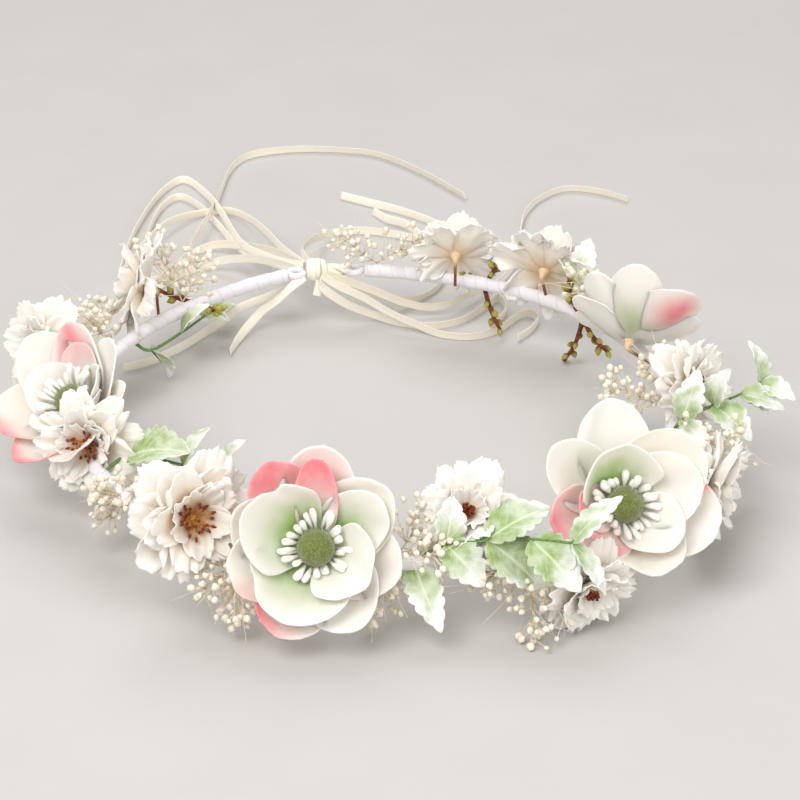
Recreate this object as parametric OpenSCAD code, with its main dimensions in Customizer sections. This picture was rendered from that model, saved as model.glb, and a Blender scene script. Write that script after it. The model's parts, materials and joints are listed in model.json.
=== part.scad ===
// Flower crown: a wire hoop bound in white tape and tied at the back, dressed with
// moulded anemones, frilled blossoms, leaf sprigs, dried gypsophila and budded twigs.
// Places on the crown are written [angle, radius, height] from the hoop's centre:
// angle 0 is the wearer's left ear, 90 the tie at the back, -90 the forehead.

/* [Hoop] */
// Radius of the hoop's centre line round the front and sides
hoop_r = 92; // [88:0.5:96]
// Radius of the flatter arcs that run to the tie at the back
back_r = 130; // [120:1:140]
// Angle, from the side, where the flatter back arcs begin
back_from = 50; // [45:1:55]
// Height of the hoop above the surface that the crown stands on
hoop_z = 20; // [19:0.5:21]
// Diameter of the bare hoop wire
wire_d = 2; // [1.6:0.1:2.4]
// Outside diameter of the tape binding
wrap_d = 4.6; // [4:0.1:5]
// Where the binding stops on the left of the tie
left_end_x = -10; // [-12:0.5:-9]
// Where the binding stops on the right of the tie
right_end_x = 17.5; // [17:0.5:20]

/* [Tie] */
// Radius of the wound knot
knot_r = 4; // [3.6:0.1:4.4]
// Length of the wound knot
knot_l = 7; // [6:0.5:7.5]
// Diameter of each cord in the twisted stretch
strand_d = 2.1; // [1.8:0.1:2.4]
// Full turns of the twisted stretch
strand_turns = 0.5; // [0.25:0.05:0.6]
// Width of the satin ribbon
ribbon_w = 3.2; // [2.8:0.1:3.4]
// Thickness of the satin ribbon
ribbon_t = 0.5; // [0.4:0.1:0.8]

/* [Flowers] */
// Thickness of a moulded anemone petal
petal_t = 0.6; // [0.5:0.1:0.8]
// Thickness of a pressed blossom petal
frill_t = 0.5; // [0.4:0.1:0.6]
// Radius of the wire that carries each flower
stem_r = 0.5; // [0.4:0.1:0.6]
// Number of pearl stamens round an anemone's centre
stamen_count = 22; // [16:1:26]
// Number of fine stamens in a blossom's heart
thread_count = 9; // [6:1:12]

/* [Foliage] */
// Thickness of a leaf
leaf_t = 0.5; // [0.4:0.1:0.8]
// Radius of a leaf sprig's wire stem
sprig_r = 0.7; // [0.6:0.1:0.9]
// Radius of a dried flower's stem
straw_r = 0.35; // [0.3:0.05:0.45]
// Radius of a dried gypsophila bud
gyp_r = 1.15; // [1:0.05:1.3]

/* [Hidden] */
$fn = 48;
tiny = 0.02;
up = [0, 0, 1];
// The crown without its ribbons is centred on the origin by this shift
centre_x = 2.48;
centre_y = -4.59;

// Anemones: [angle, radius, height, facing azimuth, facing elevation, outer radius, cup radius]
anemones = [
    [-113, 97, 28, -104, 32, 25, 36],
    [-62, 106, 32, -85, 38, 25, 36],
    [179, 94, 32, 195, 55, 25, 34],
    [6, 87, 36, 60, 40, 21, 27],
];
anemone_names = ["front_left", "front_right", "left", "right"];

// Blossoms: [angle, radius, height, facing azimuth, facing elevation, outer radius, cup radius]
blossoms = [
    [-134, 99, 31, -75, 15, 17.5, 26],
    [-171, 94, 26, -125, 10, 15.5, 22],
    [155, 110, 28, -140, 20, 15, 22],
    [130, 100, 32, 165, 15, 16, 20],
    [-86, 87, 32, -110, 45, 14, 20],
    [-71, 113, 12.8, -80, -15, 14, 24],
    [-40, 113, 20, -30, -5, 15.5, 24],
    [-17, 99, 30, -50, 25, 14, 20],
    [40, 95, 32, 60, 20, 16, 20],
    [60, 92, 32, 75, 15, 14, 20],
];

// Leaf sprigs: [stem points], then leaves as
// [stem point number, azimuth, elevation, length, width, roll]
sprig_left = [
    [[-89, -24, 21], [-80, -22, 25], [-66, -33, 26], [-57, -43, 28]],
    [[1, -38, 20, 21, 15, 20], [2, 7, 57, 14, 6, 10], [3, -18, 58, 14, 7, 10], [3, -60, 10, 9, 6, 0]],
];
sprig_front = [
    [[-11, -91, 20], [-2, -93, 26], [9, -97, 28], [20, -102, 30], [30, -108, 31]],
    [
        [0, -79, -30, 22, 10, 20],
        [1, 60, 55, 14, 9, 30],
        [1, -49, -33, 16, 12, 30],
        [2, -34, -35, 21, 14, 30],
        [2, 12, 20, 21, 13, 15],
        [3, -50, -31, 20, 13, 30],
        [4, 10, 40, 19, 7, 20],
        [4, -40, -50, 18, 6, 20],
    ],
];
sprig_right = [
    [[79, -46, 21], [85, -43, 27], [95, -42, 30], [104, -40, 31.5], [112, -36, 32]],
    [
        [1, 24, 70, 16, 9, 40],
        [1, -80, -13, 18, 7, 10],
        [2, -13, 74, 13, 9, 30],
        [2, -55, -23, 16, 10, 20],
        [3, -17, -15, 15, 9, 20],
        [3, -6, -31, 12, 8, 20],
        [4, 94, 57, 14, 10, 40],
        [4, -40, -10, 12, 8, 20],
    ],
];
sprig_back_right = [
    [[78, 49, 21], [77, 48, 25], [79, 50, 29]],
    [[2, 45, 46, 17, 9, 30], [2, 110, 40, 14, 8, 20], [1, -7, -40, 13, 8, 20]],
];
sprig_back_left = [
    [[-67, 63, 17.5], [-62, 62, 15], [-50, 74, 14], [-40, 88, 12], [-34, 96, 10]],
    [
        [1, 47, -54, 18, 9, 20],
        [2, -25, 53, 15, 8, 20],
        [3, 100, 10, 14, 7, 0],
        [3, 20, -20, 11, 7, 20],
        [4, 62, -10, 12, 8, 20],
    ],
];
sprigs = [sprig_left, sprig_front, sprig_right, sprig_back_right, sprig_back_left];
sprig_names = ["left", "front", "right", "back_right", "back_left"];

// Dried sprays: root [angle, radius, height], then branches [azimuth, elevation, length]
dried_sprays = [
    [[-128, 96, 21], [[-96, -44, 20], [-145, -29, 16], [-47, -38, 26]]],
    [[-100, 89, 20], [[-141, -40, 18], [-14, -50, 14], [30, 50, 17], [-42, 23, 16]]],
    [[-80, 97, 20], [[-87, -48, 25], [-158, -30, 12], [-47, -36, 24]]],
    [[-26, 93, 22], [[-52, 20, 24], [-42, -10, 23]]],
    [[-17, 90, 22], [[162, 23, 20], [142, 60, 18]]],
    [[18, 91, 22], [[152, 52, 25], [-126, 60, 21]]],
    [[77, 97, 22], [[-25, 32, 23], [172, 41, 18]]],
    [[121, 94, 22], [[49, 53, 18], [142, 60, 24]]],
    [[141, 100, 22], [[-122, 51, 15], [90, 30, 14]]],
    [[-155, 90, 22], [[148, -11, 11], [144, -50, 14]]],
];

// Budded twigs: root [angle, radius, height], then branches [azimuth, elevation, length]
twigs = [
    [[117, 91, 20], [[170, 24, 19], [-60, 10, 9]]],
    [[54, 94, 19], [[-32, 68, 12], [-58, -62, 17], [150, 30, 9]]],
    [[28, 91, 19], [[136, 65, 14], [135, -70, 18.5], [-46, -44, 14]]],
];

// Ribbon routes from the tie, as [x, y, z, lean]: lean 0 stands on edge, 90 lies flat
ribbon_routes = [
    // Outer loop
    [
        [-3, 101, 21, 20], [-6, 109, 18, 20], [-11, 129, 12, 20], [-16, 153, 7, 20], [-18, 188, 5, 20],
        [-20, 212, 2, 20], [-26, 226, 1.9, 10], [-37, 214, 1.9, 0], [-49, 188, 1.9, 0], [-57, 164, 1.9, 0],
        [-62, 142, 1.9, 0], [-56, 131, 1.9, 0], [-47, 142, 1.9, 0], [-34, 158, 2, 0], [-24, 160, 4, 0],
        [-15, 150, 7, 0], [-7, 130, 13, 0], [-2, 102, 20, 0],
    ],
    // Inner loop
    [
        [-4, 101, 20, 30], [-8, 113, 16, 30], [-13, 135, 9, 30], [-17, 158, 4, 20], [-20, 182, 2, 10],
        [-24, 200, 1.9, 0], [-30, 210, 1.9, 0], [-38, 202, 1.9, 0], [-45, 184, 1.9, 0], [-50, 166, 1.9, 0],
        [-54, 146, 1.9, 0], [-49, 136, 1.9, 0], [-38, 144, 2, 0], [-25, 144, 5, 0], [-14, 130, 11, 0],
        [-5, 103, 19, 0],
    ],
    // Long tail that swings round behind everything
    [
        [-1, 101, 20, 10], [-3, 118, 16, 10], [-4, 138, 11, 10], [-5, 163, 6, 10], [-8, 182, 3, 0],
        [-14, 193, 1.9, 0], [-24, 193, 1.9, 0], [-34, 186, 4, 0], [-42, 177, 5, 0], [-52, 160, 5, 0],
        [-57, 146, 4, 0], [-52, 138, 3, 0], [-44, 142, 3, 0], [-36, 153, 5, 0], [-30, 168, 5, 0],
        [-22, 186, 5, 0], [-14, 210, 2, 0], [-6, 232, 1.9, 0], [4, 244, 1.9, 0], [22, 246, 1.9, 10],
        [40, 241, 1.9, 20], [55, 232, 1.9, 20], [68, 210, 1.9, 20], [78, 185, 1.9, 20],
    ],
    // Tail that crosses behind the twisted stretch and doubles back
    [
        [0, 101, 21, 10], [0, 112, 18, 10], [2, 128, 14, 10], [10, 148, 8, 10], [20, 162, 3, 0],
        [32, 164, 1.9, 0], [46, 156, 1.9, 0], [57, 147, 1.9, 0], [64, 152, 1.9, 0], [60, 164, 1.9, 0],
        [50, 178, 1.9, 10], [40, 188, 1.9, 20], [31, 197, 1.9, 20],
    ],
    // Short tail that crosses under the twisted stretch
    [
        [3, 94, 19, 10], [9, 94, 16, 10], [18, 96, 11, 20], [28, 98, 6, 20], [39, 104, 2, 20],
        [49, 113, 1.9, 10], [55, 128, 1.9, 0], [53, 144, 3, 0], [48, 158, 5, 20], [43, 172, 2, 20],
        [40, 180, 1.9, 20],
    ],
    // Two tails that curl inside the back of the hoop
    [
        [1, 94, 18, 0], [3, 92, 15, 0], [10, 92, 9, 10], [19, 92, 4, 10], [28, 87, 1.9, 10],
        [38, 82, 1.9, 10], [50, 84, 1.9, 10], [62, 94, 1.9, 0], [67, 98, 1.9, 0], [67, 88, 1.9, 0],
        [61, 79, 1.9, 0], [57, 74, 1.9, 0],
    ],
    [
        [2, 94, 20, 0], [7, 91, 17, 0], [16, 89, 12, 10], [24, 86, 7, 10], [32, 81, 4, 10],
        [40, 75, 2, 10], [50, 71, 1.9, 10], [60, 74, 1.9, 0], [72, 84, 1.9, 0], [76, 79, 1.9, 0],
        [71, 71, 1.9, 0], [65, 66, 1.9, 0],
    ],
    // Long tail that leaves on the right
    [
        [4, 95, 20, 10], [11, 93, 17, 10], [21, 93, 12, 10], [30, 93, 7, 10], [40, 92, 4, 10],
        [48, 92, 5, 10], [58, 100, 4, 0], [68, 108, 2, 0], [78, 120, 1.9, 0], [86, 138, 1.9, 0],
        [92, 156, 1.9, 0], [98, 168, 1.9, 0], [107, 178, 1.9, 10], [118, 183, 1.9, 20], [129, 178, 1.9, 20],
        [138, 168, 1.9, 20],
    ],
    // Short tail inside the hoop
    [
        [-4, 94, 20, 40], [-9, 93, 17, 50], [-14, 94, 12, 50], [-19, 95, 8, 50], [-24, 93, 4, 40],
        [-29, 87, 2, 20], [-33, 79, 1.9, 0],
    ],
    // Tail that passes under the hoop to the left
    [
        [-4, 96, 18, 30], [-9, 97, 15, 40], [-16, 101, 10, 40], [-25, 103, 6, 30], [-36, 98, 2, 20],
        [-48, 87, 1.9, 10], [-60, 79, 1.9, 0], [-70, 76, 1.9, 0],
    ],
];
ribbon_names = [
    "loop_outer", "loop_inner", "tail_far", "tail_back", "tail_crossing",
    "tail_curl_1", "tail_curl_2", "tail_right", "tail_short", "tail_left",
];

hardware_names = ["hoop_wire", "hoop_wrap", "end_eyes", "tie_knot", "tie_twist", "flower_stems"];
anemone_parts = ["outer_petals", "inner_petals", "stamens", "pompom"];
blossom_parts = ["petals", "heart"];

// Directions and places
function on_ring(a, r, z) = [r * cos(a), r * sin(a), z];
function along(az, el) = [cos(el) * cos(az), cos(el) * sin(az), sin(el)];
function unit(v) = v / norm(v);
function place_of(f) = on_ring(f[0], f[1], f[2]);
function facing_of(f) = along(f[3], f[4]);

// A smooth curve through a list of points, with a given number of steps between each two
function bend(a, b, c, d, t) =
    (2 * b + (c - a) * t + (2 * a - 5 * b + 4 * c - d) * t * t + (3 * b - a - 3 * c + d) * t * t * t) / 2;
function smooth(p, steps) = [
    for (i = [0:len(p) - 2])
        for (k = [0:steps - 1])
            bend(p[max(i - 1, 0)], p[i], p[i + 1], p[min(i + 2, len(p) - 1)], k / steps),
    p[len(p) - 1],
];

// The flat back arcs meet the main arc without a corner, so their centres lie on its radii
back_centre = back_r - hoop_r;
function back_arc_y(x) = sqrt(pow(back_r, 2) - pow(abs(x) + back_centre * cos(back_from), 2))
    - back_centre * sin(back_from);
function back_angle(x) = acos((abs(x) + back_centre * cos(back_from)) / back_r);

module in_frame() translate([-centre_x, -centre_y, 0]) children();
module rod(a, b, r) {
    d = b - a;
    translate(a) rotate([0, acos(d[2] / norm(d)), atan2(d[1], d[0])]) cylinder(h = norm(d), r = r);
}
module ball(p, r) translate(p) sphere(r = r);
// A thin stalk from a to b, drawn in flat facets
module stalk(a, b, ra, rb, $fn = 8) hull() {
    ball(a, ra);
    ball(b, rb);
}
// Turns local +Z to the way a flower faces; local +X then points down across the flower
module facing(f) translate(place_of(f)) rotate([0, 90 - f[4], f[3]]) children();

// Sweeps an eight-sided section along points [x, y, z, lean]
module swept(route, w, t) {
    n = len(route);
    section = [[1, 0.5], [0.9, 1], [-0.9, 1], [-1, 0.5], [-1, -0.5], [-0.9, -1], [0.9, -1], [1, -0.5]];
    rings = [
        for (i = [0:n - 1])
            let (
                p = [for (k = [0:2]) route[i][k]],
                q = [for (k = [0:2]) route[max(i - 1, 0)][k]],
                s = [for (k = [0:2]) route[min(i + 1, n - 1)][k]],
                tangent = unit(s - q),
                side = unit(cross(tangent, up)),
                rise = cross(side, tangent),
                wide = rise * cos(route[i][3]) + side * sin(route[i][3]),
                thin = cross(tangent, wide)
            )
            for (c = section) p + wide * c[0] * w / 2 + thin * c[1] * t / 2
    ];
    faces = concat(
        [[for (k = [0:7]) k]],
        [for (i = [0:n - 2]) for (k = [0:7]) [i * 8 + k, (i + 1) * 8 + k, (i + 1) * 8 + (k + 1) % 8]],
        [for (i = [0:n - 2]) for (k = [0:7]) [i * 8 + k, (i + 1) * 8 + (k + 1) % 8, i * 8 + (k + 1) % 8]],
        [[for (k = [7:-1:0]) (n - 1) * 8 + k]]
    );
    polyhedron(rings, faces);
}

// Hoop: three arcs, each stopping a hair short of the next
arc_gap = 0.01;
module arc(r, from, turn) rotate([0, 0, from + arc_gap])
    rotate_extrude(angle = turn - 2 * arc_gap) translate([r, 0]) children();
module hoop_arcs(from_x, to_x) {
    right = back_angle(to_x);
    left = back_angle(from_x);
    arc(hoop_r, 180 - back_from, 180 + 2 * back_from) children();
    translate(-back_centre * [cos(back_from), sin(back_from), 0])
        arc(back_r, back_from, right - back_from) children();
    translate(-back_centre * [-cos(back_from), sin(back_from), 0])
        arc(back_r, 180 - left, left - back_from) children();
}
module hoop_wire() color("gainsboro") in_frame() translate([0, 0, hoop_z])
    hoop_arcs(left_end_x, right_end_x) circle(d = wire_d);
module hoop_wrap() color("white") in_frame() translate([0, 0, hoop_z])
    hoop_arcs(left_end_x, right_end_x) difference() {
        circle(d = wrap_d);
        circle(d = wire_d);
    }
module end_eyes() color("whitesmoke") in_frame() {
    eye_r = 2.6;
    eye_section = 1.1;
    for (x = [left_end_x + eye_r + eye_section, right_end_x - eye_r - eye_section])
        translate([x, back_arc_y(x), hoop_z])
            rotate_extrude() translate([eye_r, 0]) circle(r = eye_section);
}

// Tie: a wound knot over the left eye's end, then twisted cords to the right eye
knot_x = 1;
knot_y = back_arc_y(knot_x);
module tie_knot() color("wheat") in_frame() translate([knot_x, knot_y, hoop_z]) {
    turns = 3;
    turn_r = knot_l / turns / 2;
    rotate([0, 90, 0]) rotate_extrude() {
        for (k = [-1:1]) translate([knot_r - turn_r, k * 2 * turn_r * 0.95]) circle(r = turn_r);
        translate([0.6, -knot_l * 0.42]) square([knot_r - turn_r - 0.6, knot_l * 0.84]);
    }
}
module tie_twist() color("antiquewhite") in_frame() {
    from_x = knot_x + knot_l / 2;
    to_x = right_end_x - 7.4;
    steps = 20;
    helix_r = strand_d * 0.64;
    for (s = [0:2]) {
        route = [
            for (i = [0:steps])
                let (x = from_x + (to_x - from_x) * i / steps, a = 120 * s + 360 * strand_turns * i / steps)
                [x, back_arc_y(x) + helix_r * cos(a), hoop_z + helix_r * sin(a), 0]
        ];
        swept(route, strand_d, strand_d * 0.9);
    }
}
module ribbon(i) color("ivory") in_frame() swept(smooth(ribbon_routes[i], 3), ribbon_w, ribbon_t);

// Flowers
// The lobed outline of one pressed layer: the radius falls sharply between lobes
function lobed(r, lobes, cut, points) = [
    for (i = [0:lobes * points - 1])
        let (a = 360 * i / (lobes * points), gap = pow(abs(cos(lobes * a / 2)), 5))
        r * (1 - cut * gap) * [cos(a), sin(a)]
];
// One layer of petals: a cup cut from a thin sphere, holed for the stem
module petal_layer(r, cup_r, t, lobes, cut, turn, lift) {
    depth = cup_r - sqrt(pow(cup_r - t, 2) - r * r) + 0.5;
    rotate([0, 0, turn]) translate([0, 0, lift]) difference() {
        intersection() {
            translate([0, 0, cup_r]) difference() {
                sphere(r = cup_r);
                sphere(r = cup_r - t);
            }
            translate([0, 0, -1]) linear_extrude(depth + 1) polygon(lobed(r, lobes, cut, 9));
        }
        translate([0, 0, -1]) cylinder(h = 3, r = stem_r + 0.05);
    }
}
anemone_base = 8.5;
inner_lift = 2.2;
disc_lift = inner_lift + petal_t + 0.4;
module anemone_outer_petals(f) color("ivory") in_frame() facing(f) translate([0, 0, -anemone_base]) {
    petal_layer(f[5], f[6], petal_t, 4, 0.5, 45, 0);
    petal_layer(f[5] * 0.94, f[6] * 0.9, petal_t, 4, 0.5, 0, petal_t + 0.3);
}
module anemone_inner_petals(f) color("lavenderblush") in_frame() facing(f) translate([0, 0, -anemone_base])
    petal_layer(f[5] * 0.68, f[6] * 0.62, petal_t, 5, 0.5, 20, inner_lift);
module anemone_stamens(f) color("white") in_frame() facing(f)
    translate([0, 0, disc_lift - anemone_base]) {
        cylinder(h = 0.8, r = 4.4);
        for (i = [0:stamen_count - 1]) {
            a = 360 * i / stamen_count;
            reach = 8.8 + 1.4 * (i % 2);
            tip = [reach * cos(a), reach * sin(a), 3.6 + 1.2 * ((i + 1) % 3)];
            rod([3.8 * cos(a), 3.8 * sin(a), 0.4], tip, 0.3);
            ball(tip, 1.05);
        }
    }
module anemone_pompom(f) color("darkolivegreen") in_frame() facing(f)
    translate([0, 0, disc_lift + 0.8 - anemone_base]) {
        pompom_r = 5.6;
        intersection() {
            translate([0, 0, pompom_r - 1]) sphere(r = pompom_r);
            translate([0, 0, pompom_r + tiny]) cube(2 * pompom_r, center = true);
        }
    }
blossom_base = 4;
module blossom_petals(f) color("floralwhite") in_frame() facing(f) translate([0, 0, -blossom_base]) {
    petal_layer(f[5], f[6], frill_t, 6, 0.4, 0, 0);
    petal_layer(f[5] * 0.78, f[6] * 0.7, frill_t, 5, 0.4, 18, frill_t + 0.3);
}
module blossom_heart(f) color("peru") in_frame() facing(f)
    translate([0, 0, 2 * frill_t + 0.5 - blossom_base]) {
        cylinder(h = 2, r = 1.6);
        for (i = [0:thread_count - 1]) {
            a = 360 * i / thread_count;
            reach = 2.6 + 1.4 * (i % 2);
            tip = [reach * cos(a), reach * sin(a), 5 - 0.8 * (i % 3)];
            rod([0.8 * cos(a), 0.8 * sin(a), 1], tip, 0.25);
            ball(tip, 0.6);
        }
    }
// A flower's wire runs back from its heart, then bends to the nearest point of the binding
module flower_stem(f, base) {
    back = place_of(f) - facing_of(f) * base;
    top = back + facing_of(f) * 0.6;
    knee = back - facing_of(f) * 3;
    a = atan2(knee[1], knee[0]);
    reach_r = abs(a - 90) < 90 - back_from ? norm([knee[0], knee[1]]) : hoop_r;
    root = on_ring(a, min(reach_r, hoop_r + 2), hoop_z + 1);
    stalk(knee, top, stem_r, stem_r, $fn = 6);
    if (norm(root - knee) > 1) stalk(root, knee, stem_r, stem_r, $fn = 6);
}
module flower_stems() color("mediumseagreen") in_frame() {
    for (f = anemones) flower_stem(f, anemone_base);
    for (f = blossoms) flower_stem(f, blossom_base);
}

// Foliage
// A toothed leaf outline, pointed at both ends and widest before the middle
function leaf_half(n) = [for (i = [1:n - 1]) let (u = i / n) [u, sin(180 * pow(u, 0.75)) * (i % 2 == 0 ? 1 : 0.84)]];
function leaf_outline(l, w) = let (half = leaf_half(9)) concat(
    [[0, 0]],
    [for (p = half) [p[0] * l, p[1] * w / 2]],
    [[l, 0]],
    [for (i = [len(half) - 1:-1:0]) [half[i][0] * l, -half[i][1] * w / 2]]
);
module leaf(at, az, el, l, w, roll) translate(at) rotate([0, -el, az]) rotate([roll, 0, 0]) {
    translate([1.4, 0, -leaf_t / 2]) linear_extrude(leaf_t) polygon(leaf_outline(l - 1.4, w));
    stalk([0, 0, 0], [l * 0.3, 0, 0], leaf_t * 0.95, leaf_t * 0.8);
    stalk([l * 0.3, 0, 0], [l * 0.7, 0, 0], leaf_t * 0.8, leaf_t * 0.6);
}
module leaf_sprig(s) color("darkseagreen") in_frame() {
    stem = s[0];
    for (i = [0:len(stem) - 2]) stalk(stem[i], stem[i + 1], sprig_r, sprig_r);
    for (v = s[1]) leaf(stem[v[0]], v[1], v[2], v[3], v[4], v[5]);
}
// Where the bud numbered i sits beside a branch, on a short stalk
function bud_foot(root, way, l, i, buds) = root + way * l * (0.4 + 0.5 * i / buds);
function bud_place(foot, way, i, stalk) = let (side = unit(cross(way, up)), rise = cross(side, way))
    foot + way * stalk * 0.7 + (side * cos(137 * i) + rise * sin(137 * i)) * stalk;
// A woody branch with buds on short stalks, set alternately up its outer half
module woody_branch(root, az, el, l) {
    way = along(az, el);
    rod(root + way * 0.7, root + way * l, 0.5);
    ball(root + way * l, 1.4);
    for (i = [0:2]) {
        foot = bud_foot(root, way, l, i, 3);
        bud = bud_place(foot, way, i, 2.6);
        rod(foot, bud, 0.4);
        ball(bud, 1.2 + 0.15 * (i % 2));
    }
}
// A dried branch is so fine that five sides draw it
module dried_branch(root, az, el, l, $fn = 5) {
    way = along(az, el);
    stalk(root, root + way * l, straw_r * 1.6, straw_r, $fn = 5);
    ball(root + way * l, gyp_r);
    for (i = [0:1]) {
        foot = bud_foot(root, way, l, i, 2);
        bud = bud_place(foot, way, i, 3);
        rod(foot, bud, straw_r);
        ball(bud, gyp_r);
    }
}
module dried_sprays() color("cornsilk") in_frame()
    for (s = dried_sprays) for (b = s[1])
        dried_branch(on_ring(s[0][0], s[0][1], s[0][2]), b[0], b[1], b[2]);
module twig_sprigs() color("saddlebrown") in_frame()
    for (s = twigs) {
        root = on_ring(s[0][0], s[0][1], s[0][2]);
        ball(root, 1.25);
        for (b = s[1]) woody_branch(root, b[0], b[1], b[2]);
    }

hoop_wire();
hoop_wrap();
end_eyes();
tie_knot();
tie_twist();
flower_stems();
for (i = [0:len(ribbon_names) - 1])
    ribbon(i);
for (i = [0:len(anemones) - 1]) {
    name = str("anemone_", anemone_names[i]);
    anemone_outer_petals(anemones[i]);
    anemone_inner_petals(anemones[i]);
    anemone_stamens(anemones[i]);
    anemone_pompom(anemones[i]);
}
for (i = [0:len(blossoms) - 1]) {
    name = str("blossom_", i + 1);
    blossom_petals(blossoms[i]);
    blossom_heart(blossoms[i]);
}
for (i = [0:len(sprigs) - 1])
    leaf_sprig(sprigs[i]);
dried_sprays();
twig_sprigs();
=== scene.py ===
"""Flower crown: a white-taped wire hoop, tied at the back with ivory satin ribbon, dressed with
moulded anemones, frilled cloth blossoms, frosted leaf sprigs, dried gypsophila and budded twigs.

Every piece is a sheet or tube of points worked out on a grid with numpy. Sizes are millimetres in
the plans and tables, counted from the hoop's centre, and become metres in the row frame when a
piece is made. Angle 0 on the crown is the wearer's left ear, 90 the tie, -90 the forehead.
"""

from __future__ import annotations

import json
import logging
import math
from collections.abc import Iterator
from dataclasses import dataclass, field
from enum import Enum

import bmesh
import bpy
import numpy as np
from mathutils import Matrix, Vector

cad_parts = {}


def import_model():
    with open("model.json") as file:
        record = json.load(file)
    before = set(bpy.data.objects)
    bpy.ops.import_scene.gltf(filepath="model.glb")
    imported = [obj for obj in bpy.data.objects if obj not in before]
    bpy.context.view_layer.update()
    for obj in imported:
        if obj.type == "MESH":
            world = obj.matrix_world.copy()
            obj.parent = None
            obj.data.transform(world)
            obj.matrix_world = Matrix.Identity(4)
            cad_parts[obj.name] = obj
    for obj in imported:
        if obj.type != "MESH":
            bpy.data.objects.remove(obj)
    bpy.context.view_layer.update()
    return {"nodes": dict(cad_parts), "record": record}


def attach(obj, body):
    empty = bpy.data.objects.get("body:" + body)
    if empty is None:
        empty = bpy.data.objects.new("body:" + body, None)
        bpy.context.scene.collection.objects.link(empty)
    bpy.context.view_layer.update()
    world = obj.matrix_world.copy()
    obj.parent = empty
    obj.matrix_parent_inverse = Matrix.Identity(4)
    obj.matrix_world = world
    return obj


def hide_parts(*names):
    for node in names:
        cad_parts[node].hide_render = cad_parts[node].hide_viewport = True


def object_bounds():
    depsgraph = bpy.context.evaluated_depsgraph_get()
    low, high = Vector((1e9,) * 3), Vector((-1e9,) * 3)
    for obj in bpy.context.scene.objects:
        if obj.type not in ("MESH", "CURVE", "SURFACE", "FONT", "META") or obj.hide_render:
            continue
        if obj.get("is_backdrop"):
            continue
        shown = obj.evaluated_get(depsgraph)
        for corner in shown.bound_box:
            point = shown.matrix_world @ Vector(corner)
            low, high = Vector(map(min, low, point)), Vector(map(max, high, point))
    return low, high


LOG = logging.getLogger("flower_crown")
Tree = bpy.types.NodeTree
Node = bpy.types.Node
MM = 0.001
UP = np.array([0.0, 0.0, 1.0])
# Metres within which two points of a mesh are one, and the height in millimetres at which
# points that would sink into the floor are laid along it
MERGE = 1e-6
REST = 0.3
# Where the camera aims, in millimetres from the middle of the head rim
AIM = np.array([7.6, 1.0, 0.0])


class Tint(Enum):
    """Which channel of a piece's tint attribute carries which stain or painted shade."""

    BLUSH = 0
    THROAT = 1
    # Darkens towards the shade colour: painted shade on the anemone petals; on the blossoms, darker and
    # warmer towards each petal's foot.
    SHADE = 2


# ------------------------------------------------------------------ directions and curves


def heading(azimuth: float, elevation: float) -> np.ndarray:
    """Unit vector at an azimuth about +Z from +X and an elevation above the floor, in degrees."""
    az, el = math.radians(azimuth), math.radians(elevation)
    return np.array([math.cos(el) * math.cos(az), math.cos(el) * math.sin(az), math.sin(el)])


def unit(v: np.ndarray) -> np.ndarray:
    """Each vector divided by its own length."""
    return v / np.maximum(np.linalg.norm(v, axis=-1, keepdims=True), 1e-12)


def smooth_route(points: np.ndarray, steps: int) -> np.ndarray:
    """Catmull-Rom curve through points, with a number of steps between each two.

    Args:
        points: rows of any number of columns; every column is carried along.
        steps: samples in each span.

    Returns:
        The rows of the curve, the last point included. Each span from b to c with neighbours a
        and d is half of 2b + (c-a)t + (2a-5b+4c-d)t^2 + (3b-a-3c+d)t^3.
    """
    padded = np.vstack([points[:1], points, points[-1:]])
    a, b, c, d = (padded[i : len(padded) - 3 + i, None, :] for i in range(4))
    t = (np.arange(steps) / steps)[None, :, None]
    cubic = 2 * b + (c - a) * t + (2 * a - 5 * b + 4 * c - d) * t**2 + (3 * b - a - 3 * c + d) * t**3
    return np.vstack([(cubic / 2).reshape(-1, points.shape[1]), points[-1:]])


def ripple(x: np.ndarray, seed: int, low: float, high: float, waves: int = 5) -> np.ndarray:
    """A smooth wandering line from -1 to 1: the mean of sines of frequencies low to high."""
    rng = np.random.default_rng(seed)
    rate = np.linspace(low, high, waves)
    start = rng.uniform(0, 2 * math.pi, waves)
    return np.sin(np.asarray(x)[..., None] * rate + start).mean(axis=-1) * 1.6


# ------------------------------------------------------------------ sheets of points to meshes


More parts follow.
